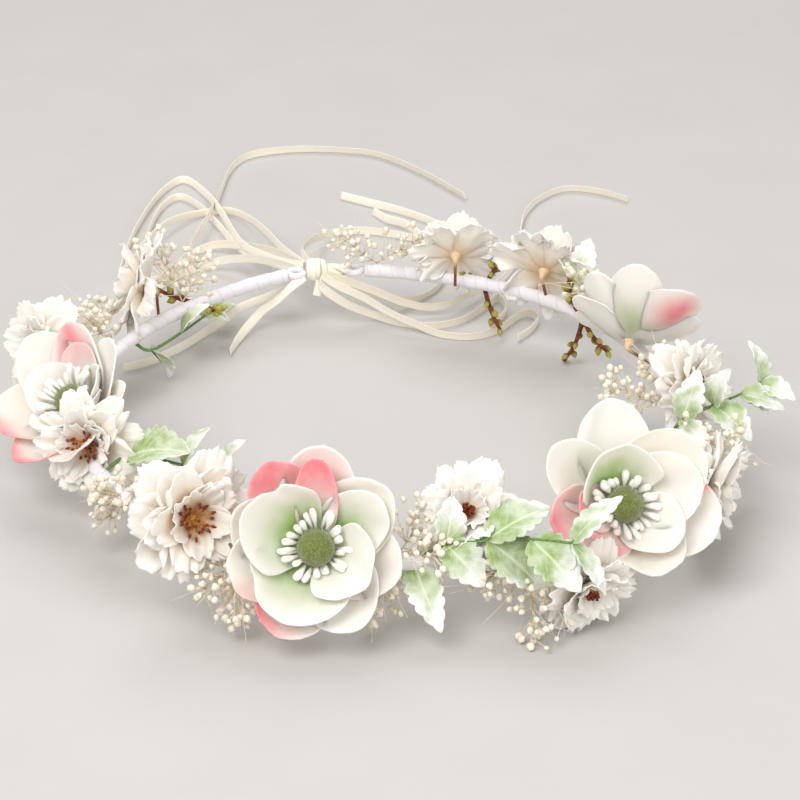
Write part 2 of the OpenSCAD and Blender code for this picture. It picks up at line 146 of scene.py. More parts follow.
@dataclass
class Sheaf:
    """Grids of points, in millimetres, gathered into one mesh with a UV map and a tint attribute."""

    points: list[np.ndarray] = field(default_factory=list)
    quads: list[np.ndarray] = field(default_factory=list)
    uvs: list[np.ndarray] = field(default_factory=list)
    tints: list[np.ndarray] = field(default_factory=list)
    count: int = 0

    def add(self, grid: np.ndarray, tint: np.ndarray = None, uv: np.ndarray = None) -> None:
        """Adds one grid. Quads join point (i, j) to (i+1, j), (i+1, j+1) and (i, j+1).

        Args:
            grid: rows x columns x 3, in millimetres from the hoop's centre on the floor.
            tint: rows x columns x 3 stains, none by default.
            uv: rows x columns x 2, the grid's own shares by default.
        """
        rows, cols = grid.shape[:2]
        index = np.arange(rows * cols).reshape(rows, cols) + self.count
        corners = [index[:-1, :-1], index[1:, :-1], index[1:, 1:], index[:-1, 1:]]
        self.quads.append(np.stack(corners, axis=-1).reshape(-1, 4))
        self.points.append(grid.reshape(-1, 3))
        if uv is None:
            u, v = np.meshgrid(np.linspace(0, 1, rows), np.linspace(0, 1, cols), indexing="ij")
            uv = np.stack([u, v], axis=-1)
        self.uvs.append(uv.reshape(-1, 2))
        self.tints.append(np.zeros((rows * cols, 3)) if tint is None else tint.reshape(-1, 3))
        self.count += rows * cols

    def add_tube(self, path: np.ndarray, radii: np.ndarray, sides: int, tint: np.ndarray = None) -> None:
        """Adds a closed tube. Each ring is radius(i) times a circle square to the path.

        Args:
            path: n x 3 centre points.
            radii: n radii.
            sides: points round it.
            tint: one stain of three shares for the whole tube, or n of them.
        """
        grid = tube_grid(path, radii, sides)
        stains = np.zeros(3) if tint is None else np.asarray(tint, dtype=float)
        if stains.ndim == 2:
            stains = np.vstack([stains[:1], stains, stains[-1:]])[:, None, :]
        self.add(grid, np.broadcast_to(stains, grid.shape).copy())

    def piece(
        self, name: str, centre: np.ndarray, finish: Finish, node: str = "",
        wall: float = 0.0, resting: bool = True,
    ) -> bpy.types.Object:
        """Makes the mesh and its object, poles and seams merged, faces outwards.

        Args:
            name: the piece's name.
            centre: the hoop's centre on the floor, in metres.
            finish: its finish.
            node: the CAD node that it replaces, if any.
            wall: thickness of a sheet in millimetres, half on each side; none for a closed shape.
            resting: whether points that would sink into the floor are laid along it.

        Returns:
            The object, at the origin, riding on the root body.
        """
        points = np.concatenate(self.points)
        if resting:
            points[:, 2] = np.maximum(points[:, 2], REST)
        verts = points * MM + centre
        faces = np.concatenate(self.quads)
        mesh = bpy.data.meshes.new(name)
        mesh.vertices.add(len(verts))
        mesh.vertices.foreach_set("co", verts.ravel())
        mesh.loops.add(faces.size)
        mesh.loops.foreach_set("vertex_index", faces.ravel())
        mesh.polygons.add(len(faces))
        mesh.polygons.foreach_set("loop_start", np.arange(0, faces.size, 4))
        mesh.update(calc_edges=True)
        layer = mesh.uv_layers.new(name="UVMap")
        layer.data.foreach_set("uv", np.concatenate(self.uvs)[faces.ravel()].ravel())
        stain = mesh.color_attributes.new(name="tint", type="FLOAT_COLOR", domain="POINT")
        shares = np.concatenate(self.tints)
        stain.data.foreach_set("color", np.hstack([shares, np.ones((len(shares), 1))]).ravel())
        work = bmesh.new()
        work.from_mesh(mesh)
        bmesh.ops.remove_doubles(work, verts=work.verts, dist=MERGE)
        bmesh.ops.recalc_face_normals(work, faces=work.faces)
        work.to_mesh(mesh)
        work.free()
        mesh.polygons.foreach_set("use_smooth", np.ones(len(mesh.polygons), dtype=bool))
        mesh.materials.append(finish.material())
        made = bpy.data.objects.new(name, mesh)
        bpy.context.scene.collection.objects.link(made)
        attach(made, "root")
        if wall:
            sheet = made.modifiers.new("wall", "SOLIDIFY")
            sheet.thickness = wall * MM
            sheet.offset = 0.0
        if node:
            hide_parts(node)
        LOG.info("%s: %d points", name, len(mesh.vertices))
        return made


def tube_grid(path: np.ndarray, radii: np.ndarray, sides: int) -> np.ndarray:
    """Rings round a path, closed by a pole at each end.

    Args:
        path: n x 3 centre points.
        radii: n radii.
        sides: points round it; the first is repeated so that the seam can be merged.

    Returns:
        (n + 2) x (sides + 1) x 3 points: centre + radius (cos a * across + sin a * over), where
        across is square to the path and to the direction in which the path varies least.
    """
    tangent = unit(np.gradient(path, axis=0))
    flat = np.linalg.svd(path - path.mean(axis=0) + 1e-9 * UP)[2][2]
    across = unit(np.cross(tangent, flat))
    over = np.cross(across, tangent)
    a = np.linspace(0, 2 * math.pi, sides + 1)
    ring = across[:, None, :] * np.cos(a)[None, :, None] + over[:, None, :] * np.sin(a)[None, :, None]
    rings = path[:, None, :] + ring * np.asarray(radii)[:, None, None]
    first = np.broadcast_to(path[0], (1, sides + 1, 3))
    last = np.broadcast_to(path[-1], (1, sides + 1, 3))
    return np.concatenate([first, rings, last])


# ------------------------------------------------------------------ finishes


def linear(hex_colour: str) -> tuple[float, float, float, float]:
    """An sRGB hex colour as linear red, green, blue and full alpha."""
    shares = [int(hex_colour[i : i + 2], 16) / 255 for i in (1, 3, 5)]
    light = [c / 12.92 if c <= 0.04045 else ((c + 0.055) / 1.055) ** 2.4 for c in shares]
    return (light[0], light[1], light[2], 1.0)


def add_node(tree: Tree, kind: str, sockets: dict | None = None, **settings: object) -> Node:
    """Adds one node.

    Args:
        tree: the material's node tree.
        kind: the node's type name without its first word.
        sockets: inputs by name or number, each a value or the output that feeds it.
        settings: the node's own properties.

    Returns:
        The node.
    """
    node = tree.nodes.new("ShaderNode" + kind)
    for name, value in settings.items():
        setattr(node, name, value)
    for key, value in (sockets or {}).items():
        if isinstance(value, bpy.types.NodeSocket):
            tree.links.new(value, node.inputs[key])
        else:
            node.inputs[key].default_value = value
    return node


def maths(tree: Tree, operation: str, *values: object, clamp: bool = False) -> object:
    """The result of a maths node; its inputs in order, each a number or an output."""
    return add_node(tree, "Math", dict(enumerate(values)), operation=operation, use_clamp=clamp).outputs[0]


def noise(tree: Tree, vector: object, scale: float, detail: float) -> object:
    """A noise of so many patches to a unit of the vector."""
    return add_node(tree, "TexNoise", {"Vector": vector, "Scale": scale, "Detail": detail}).outputs["Fac"]


def ramp(tree: Tree, value: object, low: float, high: float, top: float = 1.0) -> object:
    """A straight rise from 0 where the value is low to the top where it is high."""
    sockets = {"Value": value, "From Min": low, "From Max": high, "To Max": top}
    return add_node(tree, "MapRange", sockets).outputs[0]


def blend(tree: Tree, share: object, first: object, second: object) -> object:
    """A colour from the first to the second by a share; each is a hex colour or an output."""
    ends = [linear(end) if isinstance(end, str) else end for end in (first, second)]
    return add_node(tree, "Mix", {0: share, 6: ends[0], 7: ends[1]}, data_type="RGBA").outputs[2]


def stretched(tree: Tree, uv: object, along: float, across: float, detail: float) -> object:
    """A noise in streaks: so many patches up the UV map and so many across it."""
    mapping = add_node(tree, "Mapping", {"Vector": uv, "Scale": (along, across, 1.0)})
    return noise(tree, mapping.outputs[0], 1.0, detail)


def stains(tree: Tree) -> object:
    """The tint attribute's parts, by the names Red, Green and Blue."""
    tint = add_node(tree, "Attribute", attribute_name="tint").outputs["Color"]
    return add_node(tree, "SeparateColor", {"Color": tint}).outputs


def surface(
    tree: Tree, shader: Node, colour: object, height: object, strength: float, depth_mm: float
) -> None:
    """Links the colour, and the height as relief of a strength and a depth, to the shader."""
    tree.links.new(colour, shader.inputs["Base Color"])
    relief = {"Height": height, "Strength": strength, "Distance": depth_mm * MM}
    tree.links.new(add_node(tree, "Bump", relief).outputs[0], shader.inputs["Normal"])


@dataclass(frozen=True)
class Finish:
    """What every finish here shares: one shader with its uniform values set on its own sockets."""

    title: str
    roughness: float = 0.6
    ior: float = 1.46
    metallic: float = 0.0
    specular: float = 0.4
    subsurface: float = 0.0
    depth_mm: float = 1.0
    sheen: float = 0.0
    coat: float = 0.0

    def dress(self, tree: Tree, shader: Node) -> None:
        """Links this finish's patterns to the shader's base colour and normal."""

    def material(self) -> bpy.types.Material:
        """The material, made once and then found again by its title."""
        known = bpy.data.materials.get(self.title)
        if known:
            return known
        made = bpy.data.materials.new(self.title)
        made.use_nodes = True
        tree = made.node_tree
        tree.nodes.clear()
        values = {
            "Roughness": self.roughness,
            "Metallic": self.metallic,
            "Specular IOR Level": self.specular,
            "Subsurface Weight": self.subsurface,
            "Subsurface Radius": tuple(self.depth_mm * share * MM for share in (1.0, 0.95, 0.9)),
            "Subsurface Scale": 1.0,
            "Sheen Weight": self.sheen,
            "Coat Weight": self.coat,
        }
        if not self.metallic:
            values["IOR"] = self.ior
        shader = add_node(tree, "BsdfPrincipled", values)
        add_node(tree, "OutputMaterial", {"Surface": shader.outputs["BSDF"]})
        self.dress(tree, shader)
        return made


@dataclass(frozen=True)
class PetalFinish(Finish):
    """Soft moulded foam sheet or starched cloth, stained by an airbrush with blush and throat."""

    body: str = "#F6F2EA"
    shade: str = "#EBDFCB"
    blush: str = "#F2858E"
    throat: str = "#86AC50"
    mottle_mm: float = 6.0
    grain_mm: float = 0.7
    rib_count: float = 26.0
    relief: float = 0.12
    mottle: float = 0.35
    grain: float = 0.35

    def dress(self, tree: Tree, shader: Node) -> None:
        """Body mottled with the shade colour and darkened by the tint's blue part, which is painted shade
        on the anemone petals; then stained by the tint's pink and green parts; ribs run up the petal as
        relief.
        """
        place = add_node(tree, "TexCoord").outputs
        parts = stains(tree)
        cloud = noise(tree, place["Object"], 1 / (self.mottle_mm * MM), 4.0)
        faint = maths(tree, "MULTIPLY_ADD", cloud, self.mottle, -0.08)
        # Random mottle plus the tint's blue part, which is painted shade on the anemone petals.
        mottle_and_painted_shade = maths(tree, "ADD", faint, parts["Blue"], clamp=True)
        colour = blend(tree, mottle_and_painted_shade, self.body, self.shade)
        # The airbrush leaves a broken edge: the cloud eats into each stain.
        edge = maths(tree, "MULTIPLY_ADD", cloud, 0.7, 0.62)
        for part, stain in (("Red", self.blush), ("Green", self.throat)):
            colour = blend(tree, maths(tree, "MULTIPLY", parts[part], edge, clamp=True), colour, stain)
        ribs = stretched(tree, place["UV"], 1.6, self.rib_count, 3.0)
        grain = noise(tree, place["Object"], 1 / (self.grain_mm * MM), 3.0)
        height = maths(tree, "MULTIPLY_ADD", grain, self.grain, ribs)
        surface(tree, shader, colour, height, self.relief * 4, self.relief)


@dataclass(frozen=True)
class LeafFinish(Finish):
    """Flocked plastic leaf, sprayed with white frost at its tips and along its veins."""

    body: str = "#A9BF7E"
    deep: str = "#7D9A52"
    vein: str = "#C6D3A4"
    frost: str = "#F3F5F0"
    vein_count: float = 7.0
    vein_slant: float = -0.7
    patch_mm: float = 3.0
    relief_mm: float = 0.3

    def dress(self, tree: Tree, shader: Node) -> None:
        """Veins and frost on two greens.

        A side vein lies where the share up the leaf less 0.7 of the distance from the midrib,
        times the count of veins, meets a whole number. Frost follows the tint, broken by patches.
        """
        place = add_node(tree, "TexCoord").outputs
        parts = stains(tree)
        flat = add_node(tree, "SeparateXYZ", {"Vector": place["UV"]}).outputs
        away = maths(tree, "ABSOLUTE", maths(tree, "SUBTRACT", flat["Y"], 0.5))
        slant = maths(tree, "MULTIPLY_ADD", away, self.vein_slant, flat["X"])
        saw = maths(tree, "PINGPONG", maths(tree, "MULTIPLY", slant, self.vein_count), 0.5)
        veins = maths(tree, "MAXIMUM", ramp(tree, saw, 0.10, 0.0, 0.75), ramp(tree, away, 0.05, 0.015))
        cloud = noise(tree, place["Object"], 1 / (self.patch_mm * MM), 5.0)
        veined = blend(tree, veins, blend(tree, cloud, self.deep, self.body), self.vein)
        speck = maths(tree, "MULTIPLY_ADD", cloud, 1.0, -0.52)
        powder = maths(tree, "ADD", parts["Red"], speck, clamp=True)
        sunk = maths(tree, "MULTIPLY_ADD", veins, -0.8, cloud)
        surface(tree, shader, blend(tree, powder, veined, self.frost), sunk, 0.6, self.relief_mm)


@dataclass(frozen=True)
class WoundFinish(Finish):
    """Narrow cloth tape wound on a wire, or satin woven from fine parallel threads."""

    body: str = "#F2EFF3"
    # Colour of the painted shade along each lap, and along one edge of the satin.
    fold: str = "#CFC8D4"
    turns: float = 80.0
    thread_rate: float = 6.0
    along: float = 400.0
    relief_mm: float = 0.12

    def dress(self, tree: Tree, shader: Node) -> None:
        """A dark line of painted shade where a turn laps the last, and threads as fine relief along it."""
        place = add_node(tree, "TexCoord").outputs
        flat = add_node(tree, "SeparateXYZ", {"Vector": place["UV"]}).outputs
        # Painted shade: darker where the share round a turn is small, a line along each lap of the tape and
        # a band along one edge of the satin, which has no turns.
        lap = maths(tree, "FRACT", maths(tree, "MULTIPLY_ADD", flat["X"], self.turns, flat["Y"]))
        threads = stretched(tree, place["UV"], self.along, self.thread_rate, 4.0)
        shaded = maths(tree, "MULTIPLY_ADD", threads, 0.3, ramp(tree, lap, 0.14, 0.0, 0.5), clamp=True)
        surface(tree, shader, blend(tree, shaded, self.body, self.fold), threads, 0.4, self.relief_mm)


@dataclass(frozen=True)
class SpeckledFinish(Finish):
    """Felt, bark, dried stalks, pearl paint and the like: two tones in patches, with relief."""

    light: str = "#8A9352"
    dark: str = "#5D6B33"
    tipped: str = "#5D6B33"
    patch_mm: float = 0.8
    relief_mm: float = 0.3

    def dress(self, tree: Tree, shader: Node) -> None:
        """Light and dark by a noise in real millimetres, and a tip colour by the blush tint."""
        place = add_node(tree, "TexCoord").outputs
        patch = noise(tree, place["Object"], 1 / (self.patch_mm * MM), 5.0)
        tone = blend(tree, ramp(tree, patch, 0.35, 0.65), self.dark, self.light)
        ended = blend(tree, stains(tree)["Red"], tone, self.tipped)
        surface(tree, shader, ended, patch, 0.7, self.relief_mm)


# Anemone petals are soft foam sheet pressed in a hot mould: matt, faintly translucent at the rim,
# cream with airbrushed pink rims and a green throat.
ANEMONE_FOAM = PetalFinish("moulded_foam_petal", roughness=0.62, subsurface=0.5, depth_mm=1.8, sheen=0.15)
# Blossom petals are starched polyester cloth, cut and hot-crimped: whiter and more crinkled.
BLOSSOM_CLOTH = PetalFinish(
    "starched_cloth_petal", roughness=0.7, subsurface=0.4, depth_mm=1.6, sheen=0.2,
    body="#FFFCF6", shade="#FAEACF", blush="#7A3A20", throat="#E6AA66",
    mottle_mm=4.0, grain_mm=0.5, rib_count=30.0, relief=0.1,
)
# Stamens are thread dipped in pearl paint: white drops with a soft gloss.
PEARL_PAINT = SpeckledFinish(
    "pearl_painted_stamen", roughness=0.3, coat=0.3, subsurface=0.2, depth_mm=0.6,
    light="#FDFCF8", dark="#EFEADD", tipped="#E8DFC8", patch_mm=1.0, relief_mm=0.06,
)
# The centre is a ball of wool felt: no gloss, short fibres of two olive tones.
WOOL_FELT = SpeckledFinish(
    "olive_wool_felt", roughness=0.95, specular=0.1, sheen=0.6,
    light="#86904E", dark="#5A6634", tipped="#7D8748", patch_mm=0.45, relief_mm=0.4,
)
# Blossom hearts are waxed thread, amber with red-brown dipped tips.
WAXED_THREAD = SpeckledFinish(
    "waxed_stamen_thread", roughness=0.45, light="#E3AC62", dark="#BC7A34", tipped="#7A3018",
    patch_mm=0.8, relief_mm=0.1,
)
# Leaves are flocked polythene sprayed with white frost.
FLOCKED_LEAF = LeafFinish("frosted_flocked_leaf", roughness=0.8, sheen=0.25, subsurface=0.15)
# Gypsophila is dried and bleached: papery cream heads on straw stalks.
DRIED_HEAD = SpeckledFinish(
    "bleached_gypsophila", roughness=0.85, subsurface=0.2, light="#FBF5E9", dark="#EEE2CB",
    tipped="#DCCBA2", patch_mm=0.8, relief_mm=0.35,
)
# Twigs are dyed paper-covered wire, red-brown, with yellow-green waxy buds.
TWIG_BARK = SpeckledFinish(
    "dyed_twig_bark", roughness=0.6, light="#8A4B2A", dark="#4A2416", tipped="#A9A24C",
    patch_mm=1.5, relief_mm=0.3,
)
# The binding is white florist's cloth tape wound at a slant: matt, with a faint lilac painted shade along
# the folds where its turns lap.
CLOTH_TAPE = WoundFinish("white_cloth_tape", roughness=0.75, sheen=0.2, subsurface=0.1)
# Ribbon is narrow double-faced satin: long smooth highlights, ivory, yellower in the shade.
SATIN = WoundFinish(
    "ivory_satin", roughness=0.38, sheen=0.35, specular=0.5, subsurface=0.08, body="#FAF4E6",
    fold="#E9DDC4", turns=0.0, thread_rate=40.0, along=3.0,
)
# Leaf stalks and stems are wire bound in green crepe paper.
CREPE_PAPER = SpeckledFinish(
    "green_crepe_paper", roughness=0.8, light="#7D9A5E", dark="#557043", tipped="#557043",
    patch_mm=0.6, relief_mm=0.2,
)
# Flower wires are covered in red-brown paper and flare into moulded peach calyxes.
CALYX = SpeckledFinish(
    "moulded_calyx", roughness=0.55, light="#8C5A36", dark="#6E3F26", tipped="#E6CBA2",
    patch_mm=0.8, relief_mm=0.15,
)
# The hoop's core is drawn galvanised steel wire.
STEEL_WIRE = SpeckledFinish(
    "galvanised_wire", roughness=0.4, metallic=1.0, light="#C9CBCC", dark="#A9ACAE",
    tipped="#A9ACAE", patch_mm=0.5, relief_mm=0.05,
)
# The floor is a sheet of matt card.
CARD_FLOOR = SpeckledFinish(
    "matt_card", roughness=0.9, specular=0.2, light="#C6C4C1", dark="#C4C2BF", tipped="#C4C2BF",
    patch_mm=40.0, relief_mm=0.02,
)


# ------------------------------------------------------------------ the hoop and its tie


@dataclass
class Hoop:
    """The wire hoop in its tape binding: a round front and two flatter arcs behind."""

    centre: np.ndarray
    height: float
    round_r: float = 92.0
    back_r: float = 130.0
    back_from: float = 50.0
    left_end: float = -10.0
    right_end: float = 17.5
    wrap_r: float = 2.3
    lap: float = 0.16
    pitch: float = 7.0
    eye_r: float = 2.6
    eye_section: float = 1.1

    def ring(self, angle: float, radius: float, height: float) -> np.ndarray:
        """A place at an angle, radius and height from the hoop's centre on the floor."""
        a = math.radians(angle)
        return np.array([radius * math.cos(a), radius * math.sin(a), height])

    def back_y(self, x: float) -> float:
        """How far behind the centre the back arc passes, at a distance x from the middle."""
        shift = self.back_r - self.round_r
        a = math.radians(self.back_from)
        return math.sqrt(self.back_r**2 - (abs(x) + shift * math.cos(a)) ** 2) - shift * math.sin(a)

    def line(self) -> np.ndarray:
        """The wire's centre line from its left end round the front to its right end.

        Returns:
            n x 3 points at most 1 mm apart: circles of the two radii that share a tangent.
        """
        shift = self.back_r - self.round_r
        a0 = math.radians(self.back_from)
        away = shift * np.array([math.cos(a0), math.sin(a0)])
        left_a = math.pi - math.acos((abs(self.left_end) + away[0]) / self.back_r)
        right_a = math.acos((self.right_end + away[0]) / self.back_r)
        left = np.linspace(left_a, math.pi - a0, 90)
        front = np.linspace(math.pi - a0, 2 * math.pi + a0, 460)
        right = np.linspace(a0, right_a, 90)
        xy = np.vstack([
            np.stack([self.back_r * np.cos(left) + away[0], self.back_r * np.sin(left) - away[1]], 1),
            np.stack([self.round_r * np.cos(front), self.round_r * np.sin(front)], 1)[1:-1],
            np.stack([self.back_r * np.cos(right) - away[0], self.back_r * np.sin(right) - away[1]], 1),
        ])
        return np.column_stack([xy, np.full(len(xy), self.height)])

    def wound(self, line: np.ndarray, radius: float, pitch: float, sides: int = 28) -> np.ndarray:
        """A tube whose radius steps up where each slanting turn of tape laps the last.

        Args:
            line: n x 3 centre points in a level plane.
            radius: mean outer radius.
            pitch: how far along the next turn starts.
            sides: points round it.

        Returns:
            Rings, closed at the ends, of radius - 0.6 lap + 1.5 lap times a step that rises in the
            first 0.12 of a turn and falls evenly to its end, plus half a lap of slow wandering.
        """
        step = np.linalg.norm(np.diff(line, axis=0), axis=1)
        along = np.concatenate([[0], np.cumsum(step)])
        a = np.linspace(0, 2 * math.pi, sides + 1)
        turn = (along[:, None] / pitch + a[None, :] / (2 * math.pi)) % 1.0
        soft = np.clip(turn / 0.12, 0, 1) * (1 - turn)
        wobble = 0.5 * self.lap * ripple(along, 5, 0.15, 0.6)[:, None]
        r = radius - 0.6 * self.lap + 1.5 * self.lap * soft + wobble
        tangent = unit(np.gradient(line, axis=0))
        side = np.cross(tangent, UP)
        ring = side[:, None, :] * np.cos(a)[None, :, None] + UP * np.sin(a)[None, :, None]
        rings = line[:, None, :] + ring * r[..., None]
        ends = [np.broadcast_to(line[i], (1, sides + 1, 3)) for i in (0, -1)]
        return np.concatenate([ends[0], rings, ends[1]])

    def build(self) -> None:
        """Makes the binding and the two end eyes."""
        binding = Sheaf()
        binding.add(self.wound(self.line(), self.wrap_r, self.pitch))
        binding.piece("hoop_binding", self.centre, CLOTH_TAPE, "hoop_wrap")
        eyes = Sheaf()
        turn = np.linspace(0, 2 * math.pi, 60)
        inset = self.eye_r + self.eye_section
        for x in (self.left_end + inset, self.right_end - inset):
            across, along = self.eye_r * np.cos(turn), self.eye_r * np.sin(turn)
            loop = np.stack([x + across, self.back_y(x) + along, np.full(60, self.height)], axis=1)
            eyes.add(self.wound(loop, self.eye_section, 2.5, 14)[1:-1])
        eyes.piece("hoop_end_eyes", self.centre, CLOTH_TAPE, "end_eyes")


@dataclass
class Tie:
    """The satin cord that joins the hoop's ends: a wound knot, a twist, and a cut stub."""

    hoop: Hoop
    knot_x: float = 1.0
    knot_l: float = 7.0
    strand_d: float = 2.1
    strand_turns: float = 0.5

    def knot(self) -> None:
        """Winds four flat turns of ribbon round a core and one across them; a cut stub hangs below."""
        centre = np.array([self.knot_x, self.hoop.back_y(self.knot_x), self.hoop.height])
        gathered = Sheaf()
        turn = np.linspace(0, 2 * math.pi, 61)
        for k, (x, tilt, radius) in enumerate(
            [(-2.3, 6, 3.3), (-0.9, -9, 3.7), (0.6, 12, 3.6), (2.1, -7, 3.2), (0.2, 28, 3.75)]
        ):
            lean = math.radians(tilt)
            flat = radius * (1 + 0.05 * ripple(turn, 11 + k, 1.0, 1.0, 1))
            y, z = flat * np.cos(turn), flat * np.sin(turn)
            loop = centre + np.stack([x + y * math.sin(lean), y * math.cos(lean), z], axis=1)
            loop[-1] = loop[0]
            outward = unit(loop - centre - np.array([x, 0.0, 0.0]))
            wide = np.array([math.cos(lean), -math.sin(lean), 0.0])
            a = np.linspace(0, 2 * math.pi, 15)
            ring = (
                wide * (1.05 * np.cos(a))[None, :, None]
                + outward[:, None, :] * (0.34 * np.sin(a))[None, :, None]
            )
            gathered.add(loop[:, None, :] + ring)
        core = np.linspace(-3.1, 3.1, 24)[:, None] * np.array([[1.0, 0, 0]]) + centre
        swell = 3.3 * np.sqrt(np.clip(1 - (np.linspace(-1, 1, 24)) ** 4, 0.02, 1))
        gathered.add_tube(core, swell, 28)
        stub = np.array([[0.5, -2.6, -1.8, 60], [0.2, -4.2, -4.2, 50], [-1.0, -5.4, -7.4, 40]])
        route = smooth_route(stub, 8)
        route[:, :3] += centre
        gathered.add(ribbon_grid(route, 2.9, 0.36))
        gathered.piece("tie_wound_knot", self.hoop.centre, SATIN, "tie_knot")

    def twist(self) -> None:
        """Lays three soft strands round each other from the knot to the right-hand eye."""
        from_x = self.knot_x + self.knot_l / 2 - 0.6
        to_x = self.hoop.right_end - 6.6
        x = np.linspace(from_x, to_x, 48)
        y = np.array([self.hoop.back_y(v) for v in x])
        laid = Sheaf()
        for s in range(3):
            a = math.radians(120 * s) + 2 * math.pi * self.strand_turns * np.linspace(0, 1, 48)
            off = self.strand_d * 0.6
            path = np.stack([x, y + off * np.cos(a), self.hoop.height + off * np.sin(a)], axis=1)
            swell = self.strand_d / 2 * (0.96 + 0.06 * ripple(x, 40 + s, 1.0, 3.0))
            laid.add_tube(path, swell, 14)
        laid.piece("tie_twisted_cord", self.hoop.centre, SATIN, "tie_twist")

    def build(self) -> None:
        """Makes the knot and the twist."""
        self.knot()
        self.twist()


# ------------------------------------------------------------------ ribbons


def ribbon_grid(route: np.ndarray, width: float, thickness: float) -> np.ndarray:
    """A flat band with soft edges along a route of x, y, z and lean in degrees.

    Args:
        route: n x 4 rows; lean 0 stands the band on edge and 90 lays it flat.
        width: across the band.
        thickness: through it.

    Returns:
        Rings: centre + wide w/2 c(a) + thin t/2 s(a), where wide is the upright across the route
        turned by the lean, thin is square to it, and c, s trace a rounded oblong.
    """
    centre = route[:, :3]
    lean = np.radians(route[:, 3:4])
    tangent = unit(np.gradient(centre, axis=0))
    side = unit(np.cross(tangent, UP))
    rise = np.cross(side, tangent)
    wide = rise * np.cos(lean) + side * np.sin(lean)
    thin = np.cross(tangent, wide)
    a = np.linspace(0, 2 * math.pi, 15)
    c = np.sign(np.cos(a)) * np.abs(np.cos(a)) ** 0.7
    s = np.sign(np.sin(a)) * np.abs(np.sin(a)) ** 0.35
    bowl = 0.06 * width * c**2
    rings = (
        centre[:, None, :]
        + wide[:, None, :] * (c * width / 2)[None, :, None]
        + thin[:, None, :] * (s * thickness / 2 + bowl)[None, :, None]
    )
    ends = [np.broadcast_to(rings[i].mean(axis=0), (1, 15, 3)) for i in (0, -1)]
    return np.concatenate([ends[0], rings, ends[1]])


@dataclass(frozen=True)
class Ribbon:
    """One ribbon: its CAD name, whether it comes back to the tie, and its route x, y, z, lean."""

    name: str
    looped: bool
    route: tuple[tuple[float, float, float, float], ...]


